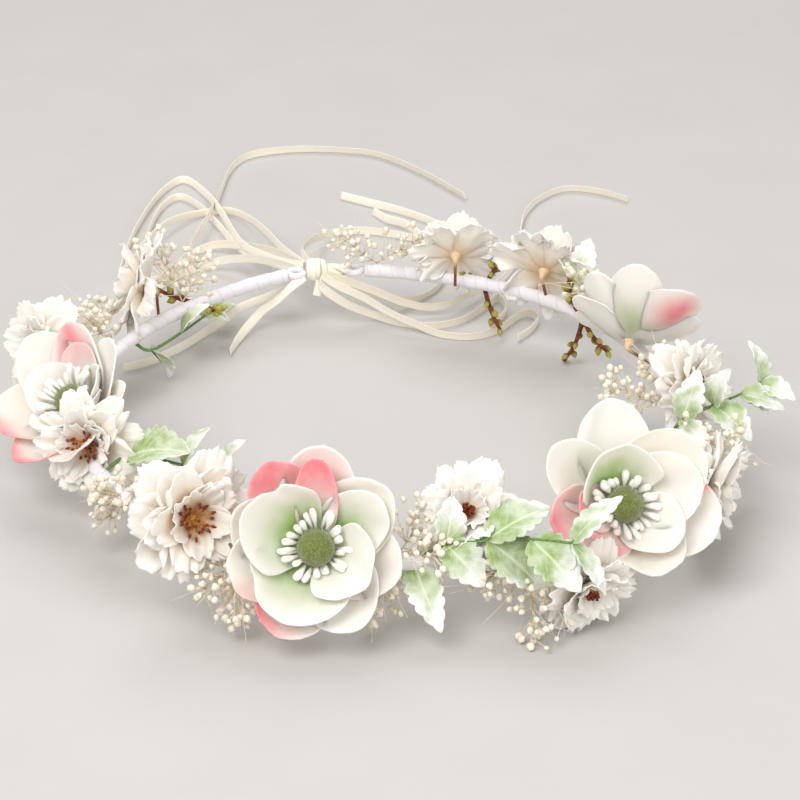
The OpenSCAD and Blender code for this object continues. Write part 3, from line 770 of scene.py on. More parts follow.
@dataclass
class Ribbons:
    """The ten lengths of narrow satin that hang from the tie and lie on the floor."""

    hoop: Hoop
    width: float = 3.2
    thickness: float = 0.36
    steps: int = 8
    ribbons: tuple[Ribbon, ...] = (
        Ribbon("loop_outer", True, (
            (-3, 101, 21, 20), (-6, 109, 18, 20), (-11, 129, 12, 20), (-16, 153, 7, 20),
            (-18, 188, 5, 20), (-20, 212, 2, 20), (-26, 226, 1.9, 10), (-37, 214, 1.9, 0),
            (-49, 188, 1.9, 0), (-57, 164, 1.9, 0), (-62, 142, 1.9, 0), (-56, 131, 1.9, 0),
            (-47, 142, 1.9, 0), (-34, 158, 2, 0), (-24, 160, 4, 0), (-15, 150, 7, 0),
            (-7, 130, 13, 0), (-2, 102, 20, 0),
        )),
        Ribbon("loop_inner", True, (
            (-4, 101, 20, 30), (-8, 113, 16, 30), (-13, 135, 9, 30), (-17, 158, 4, 20),
            (-20, 182, 2, 10), (-24, 200, 1.9, 0), (-30, 210, 1.9, 0), (-38, 202, 1.9, 0),
            (-45, 184, 1.9, 0), (-50, 166, 1.9, 0), (-54, 146, 1.9, 0), (-49, 136, 1.9, 0),
            (-38, 144, 2, 0), (-25, 144, 5, 0), (-14, 130, 11, 0), (-5, 103, 19, 0),
        )),
        Ribbon("tail_far", False, (
            (-1, 101, 20, 10), (-3, 118, 16, 10), (-4, 138, 11, 10), (-5, 163, 6, 10),
            (-8, 182, 3, 0), (-14, 193, 1.9, 0), (-24, 193, 1.9, 0), (-34, 186, 4, 0),
            (-42, 177, 5, 0), (-52, 160, 5, 0), (-57, 146, 4, 0), (-52, 138, 3, 0),
            (-44, 142, 3, 0), (-36, 153, 5, 0), (-30, 168, 5, 0), (-22, 186, 5, 0),
            (-14, 210, 2, 0), (-6, 232, 1.9, 0), (4, 244, 1.9, 0), (22, 246, 1.9, 10),
            (40, 241, 1.9, 20), (55, 232, 1.9, 20), (68, 210, 1.9, 20), (78, 185, 1.9, 20),
        )),
        Ribbon("tail_back", False, (
            (0, 101, 21, 10), (0, 112, 18, 10), (2, 128, 14, 10), (10, 148, 8, 10),
            (20, 162, 3, 0), (32, 164, 1.9, 0), (46, 156, 1.9, 0), (57, 147, 1.9, 0),
            (64, 152, 1.9, 0), (60, 164, 1.9, 0), (50, 178, 1.9, 10), (40, 188, 1.9, 20),
            (31, 197, 1.9, 20),
        )),
        Ribbon("tail_crossing", False, (
            (3, 94, 19, 10), (9, 94, 16, 10), (18, 96, 11, 20), (28, 98, 6, 20),
            (39, 104, 2, 20), (49, 113, 1.9, 10), (55, 128, 1.9, 0), (53, 144, 3, 0),
            (48, 158, 5, 20), (43, 172, 2, 20), (40, 180, 1.9, 20),
        )),
        Ribbon("tail_curl_1", False, (
            (1, 94, 18, 0), (3, 92, 15, 0), (10, 92, 9, 10), (19, 92, 4, 10), (28, 87, 1.9, 10),
            (38, 82, 1.9, 10), (50, 84, 1.9, 10), (62, 94, 1.9, 0), (67, 98, 1.9, 0),
            (67, 88, 1.9, 0), (61, 79, 1.9, 0), (57, 74, 1.9, 0),
        )),
        Ribbon("tail_curl_2", False, (
            (2, 94, 20, 0), (7, 91, 17, 0), (16, 89, 12, 10), (24, 86, 7, 10), (32, 81, 4, 10),
            (40, 75, 2, 10), (50, 71, 1.9, 10), (60, 74, 1.9, 0), (72, 84, 1.9, 0),
            (76, 79, 1.9, 0), (71, 71, 1.9, 0), (65, 66, 1.9, 0),
        )),
        Ribbon("tail_right", False, (
            (4, 95, 20, 10), (11, 93, 17, 10), (21, 93, 12, 10), (30, 93, 7, 10), (40, 92, 4, 10),
            (48, 92, 5, 10), (58, 100, 4, 0), (68, 108, 2, 0), (78, 120, 1.9, 0),
            (86, 138, 1.9, 0), (92, 156, 1.9, 0), (98, 168, 1.9, 0), (107, 178, 1.9, 10),
            (118, 183, 1.9, 20), (129, 178, 1.9, 20), (138, 168, 1.9, 20),
        )),
        Ribbon("tail_short", False, (
            (-4, 94, 20, 40), (-9, 93, 17, 50), (-14, 94, 12, 50), (-19, 95, 8, 50),
            (-24, 93, 4, 40), (-29, 87, 2, 20), (-33, 79, 1.9, 0),
        )),
        Ribbon("tail_left", False, (
            (-4, 96, 18, 30), (-9, 97, 15, 40), (-16, 101, 10, 40), (-25, 103, 6, 30),
            (-36, 98, 2, 20), (-48, 87, 1.9, 10), (-60, 79, 1.9, 0), (-70, 76, 1.9, 0),
        )),
    )

    def build(self) -> None:
        for ribbon in self.ribbons:
            route = smooth_route(np.array(ribbon.route, dtype=float), self.steps)
            band = Sheaf()
            band.add(ribbon_grid(route, self.width, self.thickness))
            made = band.piece(
                f"satin_{ribbon.name}", self.hoop.centre, SATIN, f"ribbon_{ribbon.name}"
            )


# ------------------------------------------------------------------ flowers


@dataclass(frozen=True)
class Place:
    """A flower's own frame: an origin, down and right across its face, and out along its axis."""

    origin: np.ndarray
    down: np.ndarray
    right: np.ndarray
    out: np.ndarray

    @classmethod
    def facing(cls, origin: np.ndarray, azimuth: float, elevation: float) -> Place:
        """The frame of a flower at a place that faces an azimuth and elevation."""
        return cls(
            origin,
            heading(azimuth, elevation - 90),
            heading(azimuth + 90, 0),
            heading(azimuth, elevation),
        )

    def at(self, x: np.ndarray, y: np.ndarray, z: np.ndarray) -> np.ndarray:
        """Points x down, y right and z out from the origin."""
        x, y, z = (part[..., None] for part in np.broadcast_arrays(x, y, z))
        return self.origin + x * self.down + y * self.right + z * self.out


@dataclass(frozen=True)
class Mark:
    """An airbrushed stain: its kind, centre up and across the petal, its spreads and strength."""

    kind: Tint
    up: float
    across: float
    tall: float
    wide: float
    strength: float = 1.0


def throat(strength: float = 0.9, tall: float = 0.34, across: float = 0.0) -> Mark:
    """The green stain a little above a petal's foot."""
    return Mark(Tint.THROAT, 0.26, across, tall, 0.9, strength)


def rim(strength: float = 1.0, across: float = 0.0, wide: float = 0.8, tall: float = 0.3) -> Mark:
    """The pink stain at a petal's rim."""
    return Mark(Tint.BLUSH, 1.0, across, tall, wide, strength)


def painted_shade(strength: float = 0.6) -> Mark:
    """Painted shade: a beige cast over the whole petal, for a petal that lies in shadow."""
    return Mark(Tint.SHADE, 0.5, 0.0, 3.0, 3.0, strength)


@dataclass(frozen=True)
class Petal:
    """One petal.

    turn is its direction round the face, 0 down and 90 right; reach its length; width its widest;
    foot and tip its slopes out of the face in degrees at its two ends; curl the radius to which it
    bends across; lift where it leaves the axis; notch the depth of a tear in its rim at notch_at;
    wave, crimp and frill the depths of its ripples, its creases and its ragged edge; flare how far
    its rim turns back; round_end how far its sides end short of its tip; claw its foot's share of
    the width.
    """

    turn: float
    reach: float
    width: float
    foot: float
    tip: float
    curl: float = 16.0
    lift: float = 0.0
    marks: tuple[Mark, ...] = ()
    notch: float = 0.0
    notch_at: float = 0.0
    wave: float = 0.45
    flare: float = 1.2
    round_end: float = 0.55
    claw: float = 0.24
    frill: float = 0.008
    crimp: float = 0.0

    def grid(self, place: Place, seed: int, rows: int = 30, cols: int = 37) -> tuple[np.ndarray, ...]:
        """The petal's points, stains and UV.

        Args:
            place: the flower's frame, its origin at the foot of the petals.
            seed: which random waves this petal has.
            rows: points up the petal.
            cols: points across it.

        Returns:
            Grid, tint and uv. The share up u ends at 1 - e (1 - sqrt(1 - v^2)), a half ellipse,
            less the notch; the half width is a claw that swells as a sine; the midline's slope
            turns evenly from foot to tip; across, the petal is an arc of the curl's radius; its
            rim flares back and waves along the normal.
        """
        s = np.linspace(-1, 1, cols)[None, :]
        v = np.sin(s * math.pi / 2)
        t = np.linspace(0, 1, rows)[:, None]
        end = 1 - self.round_end * (1 - np.sqrt(np.clip(1 - v**2, 0, 1)))
        end = end - self.notch * np.exp(-(((v - self.notch_at) / 0.13) ** 2))
        end = end + self.frill * ripple(v, seed + 7, 9, 40, 7)
        u = t * end
        swell = np.sin(np.clip(u / 0.62, 0, 1) * math.pi / 2) ** 0.85
        half = self.width / 2 * (self.claw + (1 - self.claw) * swell)
        side = v * half
        foot, turn = math.radians(self.foot), math.radians(self.tip - self.foot) or 1e-3
        slope = foot + turn * u
        out = self.reach * (np.sin(slope) - math.sin(foot)) / turn
        rise = self.reach * (math.cos(foot) - np.cos(slope)) / turn
        bow = self.curl * (1 - np.cos(side / self.curl))
        across = self.curl * np.sin(side / self.curl)
        bumpy = ripple(v * 2 + t, seed, 2, 5) * t**2
        folds = ripple(v * 3 + t * 0.7, seed + 3, 6, 16) * t
        lean = bow - self.flare * t**5 + self.wave * bumpy + self.crimp * folds
        radial = out - lean * np.sin(slope) + 0.6
        height = rise + lean * np.cos(slope) + self.lift
        a = math.radians(self.turn)
        x = radial * math.cos(a) - across * math.sin(a)
        y = radial * math.sin(a) + across * math.cos(a)
        tint = np.zeros((rows, cols, 3))
        for mark in self.marks:
            spread = np.exp(-(((t - mark.up) / mark.tall) ** 2) - ((v - mark.across) / mark.wide) ** 2)
            tint[..., mark.kind.value] += mark.strength * spread
        uv = np.stack([u, (v + 1) / 2 + np.zeros_like(u)], axis=-1)
        return place.at(x, y, height), np.clip(tint, 0, 1), uv


class Flower:
    """What both kinds of flower share: a place on the hoop and a way to face."""

    def place(self) -> Place:
        """The frame at the foot of the petals, the base behind the flower's place."""
        centre = self.hoop.ring(self.angle, self.radius, self.height)
        out = heading(self.azimuth, self.elevation)
        return Place.facing(centre - self.base * out, self.azimuth, self.elevation)


@dataclass
class Anemone(Flower):
    """One large moulded flower: two whorls of petals, pearl stamens and a felt ball."""

    name: str
    hoop: Hoop
    angle: float
    radius: float
    height: float
    azimuth: float
    elevation: float
    outer: tuple[Petal, ...]
    inner: tuple[Petal, ...]
    seed: int
    base: float = 8.5
    sheet: float = 0.45
    ball_r: float = 5.3
    ball_at: float = 0.1
    stamens: int = 24
    stand: float = 0.0
    thread_reach: tuple[float, float] = (7.6, 11.4)
    thread_top: tuple[float, float] = (7.4, 10.8)
    drop_r: tuple[float, float] = (0.9, 1.2)
    thread_r: float = 0.2
    fibres: int = 620
    fibre_l: tuple[float, float] = (0.25, 0.6)

    def whorl(self, petals: tuple[Petal, ...], part: str, seed: int) -> None:
        """Makes one whorl of petals as a thin sheet piece that stands for its CAD node."""
        spread = Sheaf()
        place = self.place()
        for i, petal in enumerate(petals):
            spread.add(*petal.grid(place, seed + 31 * i))
        name = f"{self.name}_{part}"
        spread.piece(name + "_foam", self.hoop.centre, ANEMONE_FOAM, name, self.sheet)

    def pearls(self) -> None:
        """Makes the stamens: thin threads that fan out of a small disc and end in drops.

        Each radius is the thread's, then swells in an S to the drop, whose end is round.
        """
        rng = np.random.default_rng(self.seed + 900)
        ring = Sheaf()
        place = self.place()
        shares = np.concatenate([np.linspace(0, 0.86, 9), 0.86 + 0.14 * np.sin(np.linspace(0.2, 1.5, 6))])
        fat = np.clip((shares - 0.35) / 0.5, 0, 1)
        fat = (3 * fat**2 - 2 * fat**3) * np.sqrt(1 - np.clip((shares - 0.86) / 0.142, 0, 1) ** 2)
        for i in range(self.stamens):
            a = 2 * math.pi * (i + rng.uniform(-0.25, 0.25)) / self.stamens
            reach = rng.uniform(*self.thread_reach)
            top = rng.uniform(*self.thread_top) + self.stand
            drop = rng.uniform(*self.drop_r)
            r = 1.5 + (reach - 1.5) * shares
            z = 3.2 + (top - 3.2) * np.sin(shares * math.pi / 2) ** 0.8
            swerve = a + rng.uniform(-0.2, 0.2) * shares**2
            path = place.at(r * np.cos(swerve), r * np.sin(swerve), z)
            ring.add_tube(path, self.thread_r + (drop - self.thread_r) * fat, 10)
        disc = place.at(np.zeros(3), np.zeros(3), np.array([2.6, 3.4, 4.2]))
        ring.add_tube(disc, np.array([3.8, 4.2, 3.6]), 20)
        ring.piece(
            f"{self.name}_pearls", self.hoop.centre, PEARL_PAINT, f"{self.name}_stamens"
        )

    def ball(self) -> None:
        """Makes the felt ball: a lumpy sphere with hundreds of short three-sided fibres."""
        rng = np.random.default_rng(self.seed + 500)
        felt = Sheaf()
        place = self.place()
        middle = self.base + self.ball_at
        lat, lon = np.meshgrid(np.linspace(0, math.pi, 26), np.linspace(0, 2 * math.pi, 45), indexing="ij")
        flat = np.stack([np.sin(lat) * np.cos(lon), np.sin(lat) * np.sin(lon), np.cos(lat)], axis=-1)
        lumps = ripple(flat @ np.array([3.0, 1.0, 2.0]), self.seed, 1, 5)
        r = self.ball_r * (1 + 0.025 * lumps * np.sin(lat))
        felt.add(place.at(r * flat[..., 0], r * flat[..., 1], middle + r * flat[..., 2]))
        ways = unit(rng.normal(size=(self.fibres, 3)))
        ways = ways[ways[:, 2] > -0.35]
        for way in ways:
            tip = unit(way + rng.normal(scale=0.35, size=3))
            end = way * self.ball_r + tip * rng.uniform(*self.fibre_l)
            ends = np.stack([way * (self.ball_r - 0.15), end])
            path = place.at(ends[:, 0], ends[:, 1], middle + ends[:, 2])
            felt.add_tube(path, np.array([0.1, 0.04]), 3, np.array([0.6, 0.0, 0.0]))
        felt.piece(f"{self.name}_felt_ball", self.hoop.centre, WOOL_FELT, f"{self.name}_pompom")

    def build(self) -> None:
        """Makes the flower's four pieces."""
        self.whorl(self.outer, "outer_petals", self.seed)
        self.whorl(self.inner, "inner_petals", self.seed + 400)
        self.pearls()
        self.ball()


@dataclass
class Blossom(Flower):
    """One frilled cloth flower: four whorls of crimped petals round a heart of waxed threads."""

    number: int
    hoop: Hoop
    angle: float
    radius: float
    height: float
    azimuth: float
    elevation: float
    size: float
    warm: float = 0.8
    heart_r: float = 4.0
    threads: int = 36
    base: float = 4.0
    sheet: float = 0.22

    def petals(self) -> None:
        """Makes the four whorls, the inner ones wider open the wider the heart."""
        rng = np.random.default_rng(70 + self.number)
        spread = Sheaf()
        place = self.place()
        bowl = self.heart_r / self.size
        # For each whorl: count, share of the size, slopes at foot and tip, lift and flare
        plans = (
            (7, 1.06, 2.0, 16.0, 0.0, 3.6),
            (6, 1.0, 10.0, 44.0, 0.6, 2.2),
            (5, 0.9, 22.0, 70.0 - 45.0 * bowl, 1.2, 1.4),
            (5, 0.5 + 0.45 * bowl, 34.0 - 30.0 * bowl, 88.0 - 70.0 * bowl, 1.8, 0.6),
        )
        for whorl, (count, share, foot, tip, lift, flare) in enumerate(plans):
            for i in range(count):
                reach = self.size * share * rng.uniform(0.92, 1.12)
                petal = Petal(
                    turn=360 * i / count + 23 * whorl + rng.uniform(-12, 12),
                    reach=reach,
                    width=reach * rng.uniform(0.66, 0.92),
                    foot=foot + rng.uniform(-4, 4),
                    tip=tip + rng.uniform(-16, 12),
                    curl=rng.uniform(6, 12),
                    lift=lift,
                    marks=(
                        Mark(Tint.THROAT, 0.0, 0.0, 0.12 + 0.95 * bowl, 1.8, self.warm),
                        Mark(Tint.SHADE, 0.2, 0.0, 0.5, 2.0, 0.15 + 0.5 * self.warm),
                    ),
                    notch=rng.uniform(0.05, 0.2),
                    notch_at=rng.uniform(-0.35, 0.35),
                    wave=rng.uniform(0.6, 1.3),
                    flare=flare * rng.uniform(0.5, 1.4),
                    round_end=0.4,
                    claw=0.22,
                    frill=0.045,
                    crimp=rng.uniform(0.15, 0.35),
                )
                spread.add(*petal.grid(place, 1000 * self.number + 40 * whorl + i, 22, 31))
        spread.piece(
            f"blossom_{self.number}_cloth", self.hoop.centre, BLOSSOM_CLOTH,
            f"blossom_{self.number}_petals", self.sheet,
        )

    def heart(self) -> None:
        """Makes the threads, each a thin bent tube that ends in a dark oval tip, and their boss."""
        rng = np.random.default_rng(170 + self.number)
        threads = Sheaf()
        place = self.place()
        shares = np.linspace(0, 1, 9)
        end = np.clip((shares - 0.74) / 0.26, 0, 1)
        for _ in range(self.threads):
            a = rng.uniform(0, 2 * math.pi)
            reach = self.heart_r * math.sqrt(rng.uniform(0.03, 1.0))
            top = rng.uniform(4.2, 6.2) + 0.1 * reach
            r = 0.6 + (reach - 0.6) * shares**1.3
            z = 1.6 + (top - 1.6) * shares**0.8
            path = place.at(r * np.cos(a), r * np.sin(a), z)
            radii = 0.13 + 0.4 * np.sin(np.clip(end, 0.0, 0.98) * math.pi) ** 0.7
            dark = np.column_stack([np.clip(end * 3, 0, 1), np.zeros((9, 2))])
            threads.add_tube(path, radii, 6, dark)
        boss = place.at(np.zeros(6), np.zeros(6), np.linspace(1.2, 3.2, 6))
        threads.add_tube(boss, 1.7 * np.sqrt(np.linspace(1, 0.1, 6)), 14)
        threads.piece(
            f"blossom_{self.number}_threads", self.hoop.centre, WAXED_THREAD,
            f"blossom_{self.number}_heart",
        )

    def build(self) -> None:
        """Makes the petals and the heart."""
        self.petals()
        self.heart()


@dataclass
class FlowerWires:
    """The wire behind each flower, from its calyx to the binding."""

    hoop: Hoop
    flowers: tuple[tuple[np.ndarray, np.ndarray], ...]
    wire_r: float = 0.5
    calyx_r: float = 2.1
    knee: float = 3.0
    flare_l: float = 5.0

    def build(self) -> None:
        """Makes every calyx and wire in one piece.

        The radius is the wire's up to the flare, which widens to the calyx. The path runs
        back from the flower to a knee, then bends to the hoop at the same angle.
        """
        wires = Sheaf()
        for back, out in self.flowers:
            knee = back - self.knee * out
            a = math.degrees(math.atan2(knee[1], knee[0]))
            behind = abs(a - 90) < 90 - self.hoop.back_from
            reach = float(np.hypot(knee[0], knee[1])) if behind else self.hoop.round_r
            root = self.hoop.ring(a, min(reach, self.hoop.round_r + 2), self.hoop.height + 1)
            points = np.stack([root, knee * 0.5 + root * 0.5, knee, back - 1.0 * out, back + 0.5 * out])
            path = smooth_route(points, 6)
            left = np.linalg.norm(path - path[-1], axis=1)
            flare = np.clip(1 - left / self.flare_l, 0, 1)
            radii = self.wire_r + (self.calyx_r - self.wire_r) * flare**1.4
            stain = np.column_stack([np.clip(flare * 3, 0, 1), np.zeros((len(path), 2))])
            wires.add_tube(path, radii, 12, stain)
        wires.piece("flower_wires", self.hoop.centre, CALYX, "flower_stems")


# ------------------------------------------------------------------ foliage


@dataclass(frozen=True)
class Leaf:
    """One leaf: the stem point it grows from, its way, length, width and roll."""

    node: int
    azimuth: float
    elevation: float
    length: float
    width: float
    roll: float


@dataclass
class LeafSprig:
    """A wire stem with toothed, folded, frosted leaves."""

    name: str
    hoop: Hoop
    stem: tuple[tuple[float, float, float], ...]
    leaves: tuple[Leaf, ...]
    frost: float
    stem_r: float = 0.6
    sheet: float = 0.3
    fold: float = 0.34
    tooth: float = 3.3

    def leaf_grid(self, leaf: Leaf, seed: int) -> tuple[np.ndarray, ...]:
        """One leaf's points, stains and UV.

        Args:
            leaf: its plan.
            seed: which waves it has.

        Returns:
            Half width sin(pi u^0.75)^0.72, cut back between round teeth; the halves fold up from the
            midrib; the midline arches and its tip droops by the square of u.
        """
        rows, cols = 72, 15
        u = np.linspace(0, 1, rows)[:, None]
        v = np.linspace(-1, 1, cols)[None, :]
        teeth = 1 - np.abs(np.sin(math.pi * u * leaf.length / self.tooth)) ** 0.7
        half = leaf.width / 2 * np.sin(math.pi * u**0.75) ** 0.72
        half = half * (1.08 - 0.26 * teeth * np.abs(v)) + 0.12 * (1 - u)
        along = heading(leaf.azimuth, leaf.elevation)
        level = heading(leaf.azimuth + 90, 0)
        rise = np.cross(along, level)
        roll = math.radians(leaf.roll)
        side = level * math.cos(roll) + rise * math.sin(roll)
        face = np.cross(along, side)
        side_at = v * half
        lift = self.fold * np.abs(side_at) + 0.10 * leaf.length * (np.sin(u * math.pi) * 0.6 - u**2 * 0.9)
        lift = lift + 0.35 * ripple(u * 3 + v, seed, 2, 7) * np.abs(v) * u
        grid = (
            np.array(self.stem[leaf.node])
            + (u * leaf.length * 0.99)[..., None] * along
            + side_at[..., None] * side
            + lift[..., None] * face
        )
        tint = np.zeros((rows, cols, 3))
        edge = 0.14 + 2.4 * u**2 + 0.6 * np.abs(v) ** 4
        young = 11.5 / max(leaf.width, 5.0)
        patchy = 1 + 0.5 * ripple(u * 4 + v, seed, 1, 4)
        tint[..., 0] = np.clip(self.frost * young * edge * patchy, 0, 1)
        uv = np.stack(np.broadcast_arrays(u, (v + 1) / 2), axis=-1)
        return grid, tint, uv

    def build(self) -> None:
        """Makes the leaves as one thin piece and the stem as another."""
        blades = Sheaf()
        for i, leaf in enumerate(self.leaves):
            blades.add(*self.leaf_grid(leaf, 300 + 17 * i + len(self.name)))
        blades.piece(
            f"{self.name}_leaves", self.hoop.centre, FLOCKED_LEAF, self.name, self.sheet
        )
        stalks = Sheaf()
        path = smooth_route(np.array(self.stem, dtype=float), 10)
        stalks.add_tube(path, np.linspace(self.stem_r, self.stem_r * 0.6, len(path)), 10)
        for leaf in self.leaves:
            start = np.array(self.stem[leaf.node], dtype=float)
            along = heading(leaf.azimuth, leaf.elevation)
            reach = np.linspace(0, 0.5 * leaf.length, 10)[:, None]
            arch = np.linspace(0, 0.0108 * leaf.length, 10)[:, None] * UP
            stalks.add_tube(start + reach * along + arch, np.linspace(0.42, 0.12, 10), 8)
        stalks.piece(f"{self.name}_stalks", self.hoop.centre, CREPE_PAPER)


@dataclass(frozen=True)
class Branch:
    """One branch: its way and its length."""

    azimuth: float
    elevation: float
    length: float


@dataclass(frozen=True)
class Spray:
    """A root at an angle, radius and height on the hoop, and the branches that leave it."""

    angle: float
    radius: float
    height: float
    branches: tuple[Branch, ...]

    def ways(self, hoop: Hoop) -> Iterator[tuple]:
        """For each branch: the root, its length, its way, and two directions square to it."""
        root = hoop.ring(self.angle, self.radius, self.height)
        for branch in self.branches:
            way = heading(branch.azimuth, branch.elevation)
            across = unit(np.cross(way, UP + 0.01))
            yield root, branch.length, way, across, np.cross(way, across)


def head_grid(centre: np.ndarray, radius: float, way: np.ndarray, seed: int) -> np.ndarray:
    """A small crumpled head, 7 x 9 points.

    Args:
        centre: its middle.
        radius: its mean radius.
        way: its long axis.
        seed: which crumples it has.

    Returns:
        A sphere stretched by 1.15 along its way, its radius times 1 + 0.16 sin(3 lon) sin(lat)
        + 0.1 cos(5 lat), both waves shifted by the seed.
    """
    lat, lon = np.meshgrid(np.linspace(0, math.pi, 7), np.linspace(0, 2 * math.pi, 9), indexing="ij")
    across = unit(np.cross(way, UP + 0.01))
    over = np.cross(way, across)
    rough = 1 + 0.16 * np.sin(3 * lon + seed) * np.sin(lat) + 0.1 * np.cos(5 * lat + seed)
    r = (radius * rough)[..., None]
    return centre + r * (
        (np.sin(lat) * np.cos(lon))[..., None] * across
        + (np.sin(lat) * np.sin(lon))[..., None] * over
        + 1.15 * np.cos(lat)[..., None] * way
    )


@dataclass
class DriedSprays:
    """Dried gypsophila: hair-fine stalks that fork and end in papery heads, and stray wisps."""

    hoop: Hoop
    sprays: tuple[Spray, ...]
    stalk_r: float = 0.26
    heads: int = 34
    wisps: int = 7
    side_l: tuple[float, float] = (2.5, 10.0)
    head_r: tuple[float, float] = (0.65, 1.15)
    wisp_l: tuple[float, float] = (8.0, 17.0)
    stray: float = 2.4

    def build(self) -> None:
        """Makes every spray in one piece: each branch bends a little and carries side stalks."""
        rng = np.random.default_rng(61)
        dry = Sheaf()
        for spray in self.sprays:
            for root, length, way, across, over in spray.ways(self.hoop):
                share = np.linspace(0, 1, 10)[:, None]
                bend = rng.normal(scale=1.3, size=2)
                main = root + share * length * way
                main = main + np.sin(share * math.pi) * (bend[0] * across + bend[1] * over)
                dry.add_tube(main, np.linspace(self.stalk_r, 0.16, 10), 6, np.array([0.7, 0, 0]))
                for k in range(self.heads):
                    start = rng.uniform(0.12, 0.98)
                    foot = main[int(start * 9)]
                    a = 2.4 * k + rng.uniform(-0.5, 0.5)
                    out = rng.uniform(*self.side_l) * (1.15 - 0.4 * start)
                    aim = unit(way * rng.uniform(0.3, 1.1) + math.cos(a) * across + math.sin(a) * over)
                    tip = foot + aim * out
                    tip[2] = max(tip[2], 1.4)
                    sag = np.array([0, 0, -0.25])
                    bent = np.stack([foot, (foot + tip) / 2 + sag, tip])
                    dry.add_tube(bent, np.array([0.15, 0.13, 0.12]), 4, np.array([0.6, 0, 0]))
                    dry.add(head_grid(tip, rng.uniform(*self.head_r), aim, k))
                dry.add(head_grid(main[-1], 1.1, way, 3))
                for k in range(self.wisps):
                    aim = unit(way + rng.uniform(-0.9, 0.9) * across + rng.uniform(-0.7, 0.9) * over)
                    reach = rng.uniform(*self.wisp_l)
                    stray = rng.normal(scale=self.stray) * across + rng.normal(scale=self.stray) * over
                    hair = main[int(rng.uniform(0.1, 0.9) * 9)] + share * reach * aim + share**2 * stray
                    dry.add_tube(hair, np.linspace(0.13, 0.06, 10), 4, np.array([0.15, 0, 0]))
        dry.piece("dried_gypsophila", self.hoop.centre, DRIED_HEAD, "dried_sprays")


@dataclass
class TwigSprigs:
    """Red-brown twigs with pointed yellow-green buds."""

    hoop: Hoop
    sprays: tuple[Spray, ...]
    buds: int = 6
    bud_l: tuple[float, float] = (3.0, 4.6)
    bow: float = 1.1

    def build(self) -> None:
        """Makes every twig in one piece: a bent tapering stalk and buds set round it."""
        rng = np.random.default_rng(62)
        wood = Sheaf()
        for spray in self.sprays:
            for root, length, way, across, over in spray.ways(self.hoop):
                share = np.linspace(0, 1, 14)[:, None]
                main = root + share * length * way + self.bow * np.sin(share * math.pi) * over
                knots = 0.85 - 0.35 * share[:, 0] + 0.12 * np.abs(np.sin(share[:, 0] * 14))
                wood.add_tube(main, knots, 9)
                for k in range(self.buds):
                    start = 0.35 + 0.62 * k / (self.buds - 1)
                    foot = main[int(start * 13)]
                    a = 2.4 * k + rng.uniform(-0.3, 0.3)
                    aim = unit(way * 1.2 + math.cos(a) * across + math.sin(a) * over)
                    reach = rng.uniform(*self.bud_l)
                    line = foot + np.linspace(0, 1, 10)[:, None] * reach * aim
                    fat = np.array([0.3, 0.32, 0.5, 0.85, 1.05, 1.1, 0.95, 0.7, 0.4, 0.1])
                    green = np.column_stack([np.clip(np.linspace(-0.8, 2.2, 10), 0, 1), np.zeros((10, 2))])
                    wood.add_tube(line, fat * rng.uniform(0.85, 1.15), 9, green)
        wood.piece("budded_twigs", self.hoop.centre, TWIG_BARK, "twig_sprigs")


# ------------------------------------------------------------------ tables for this crown


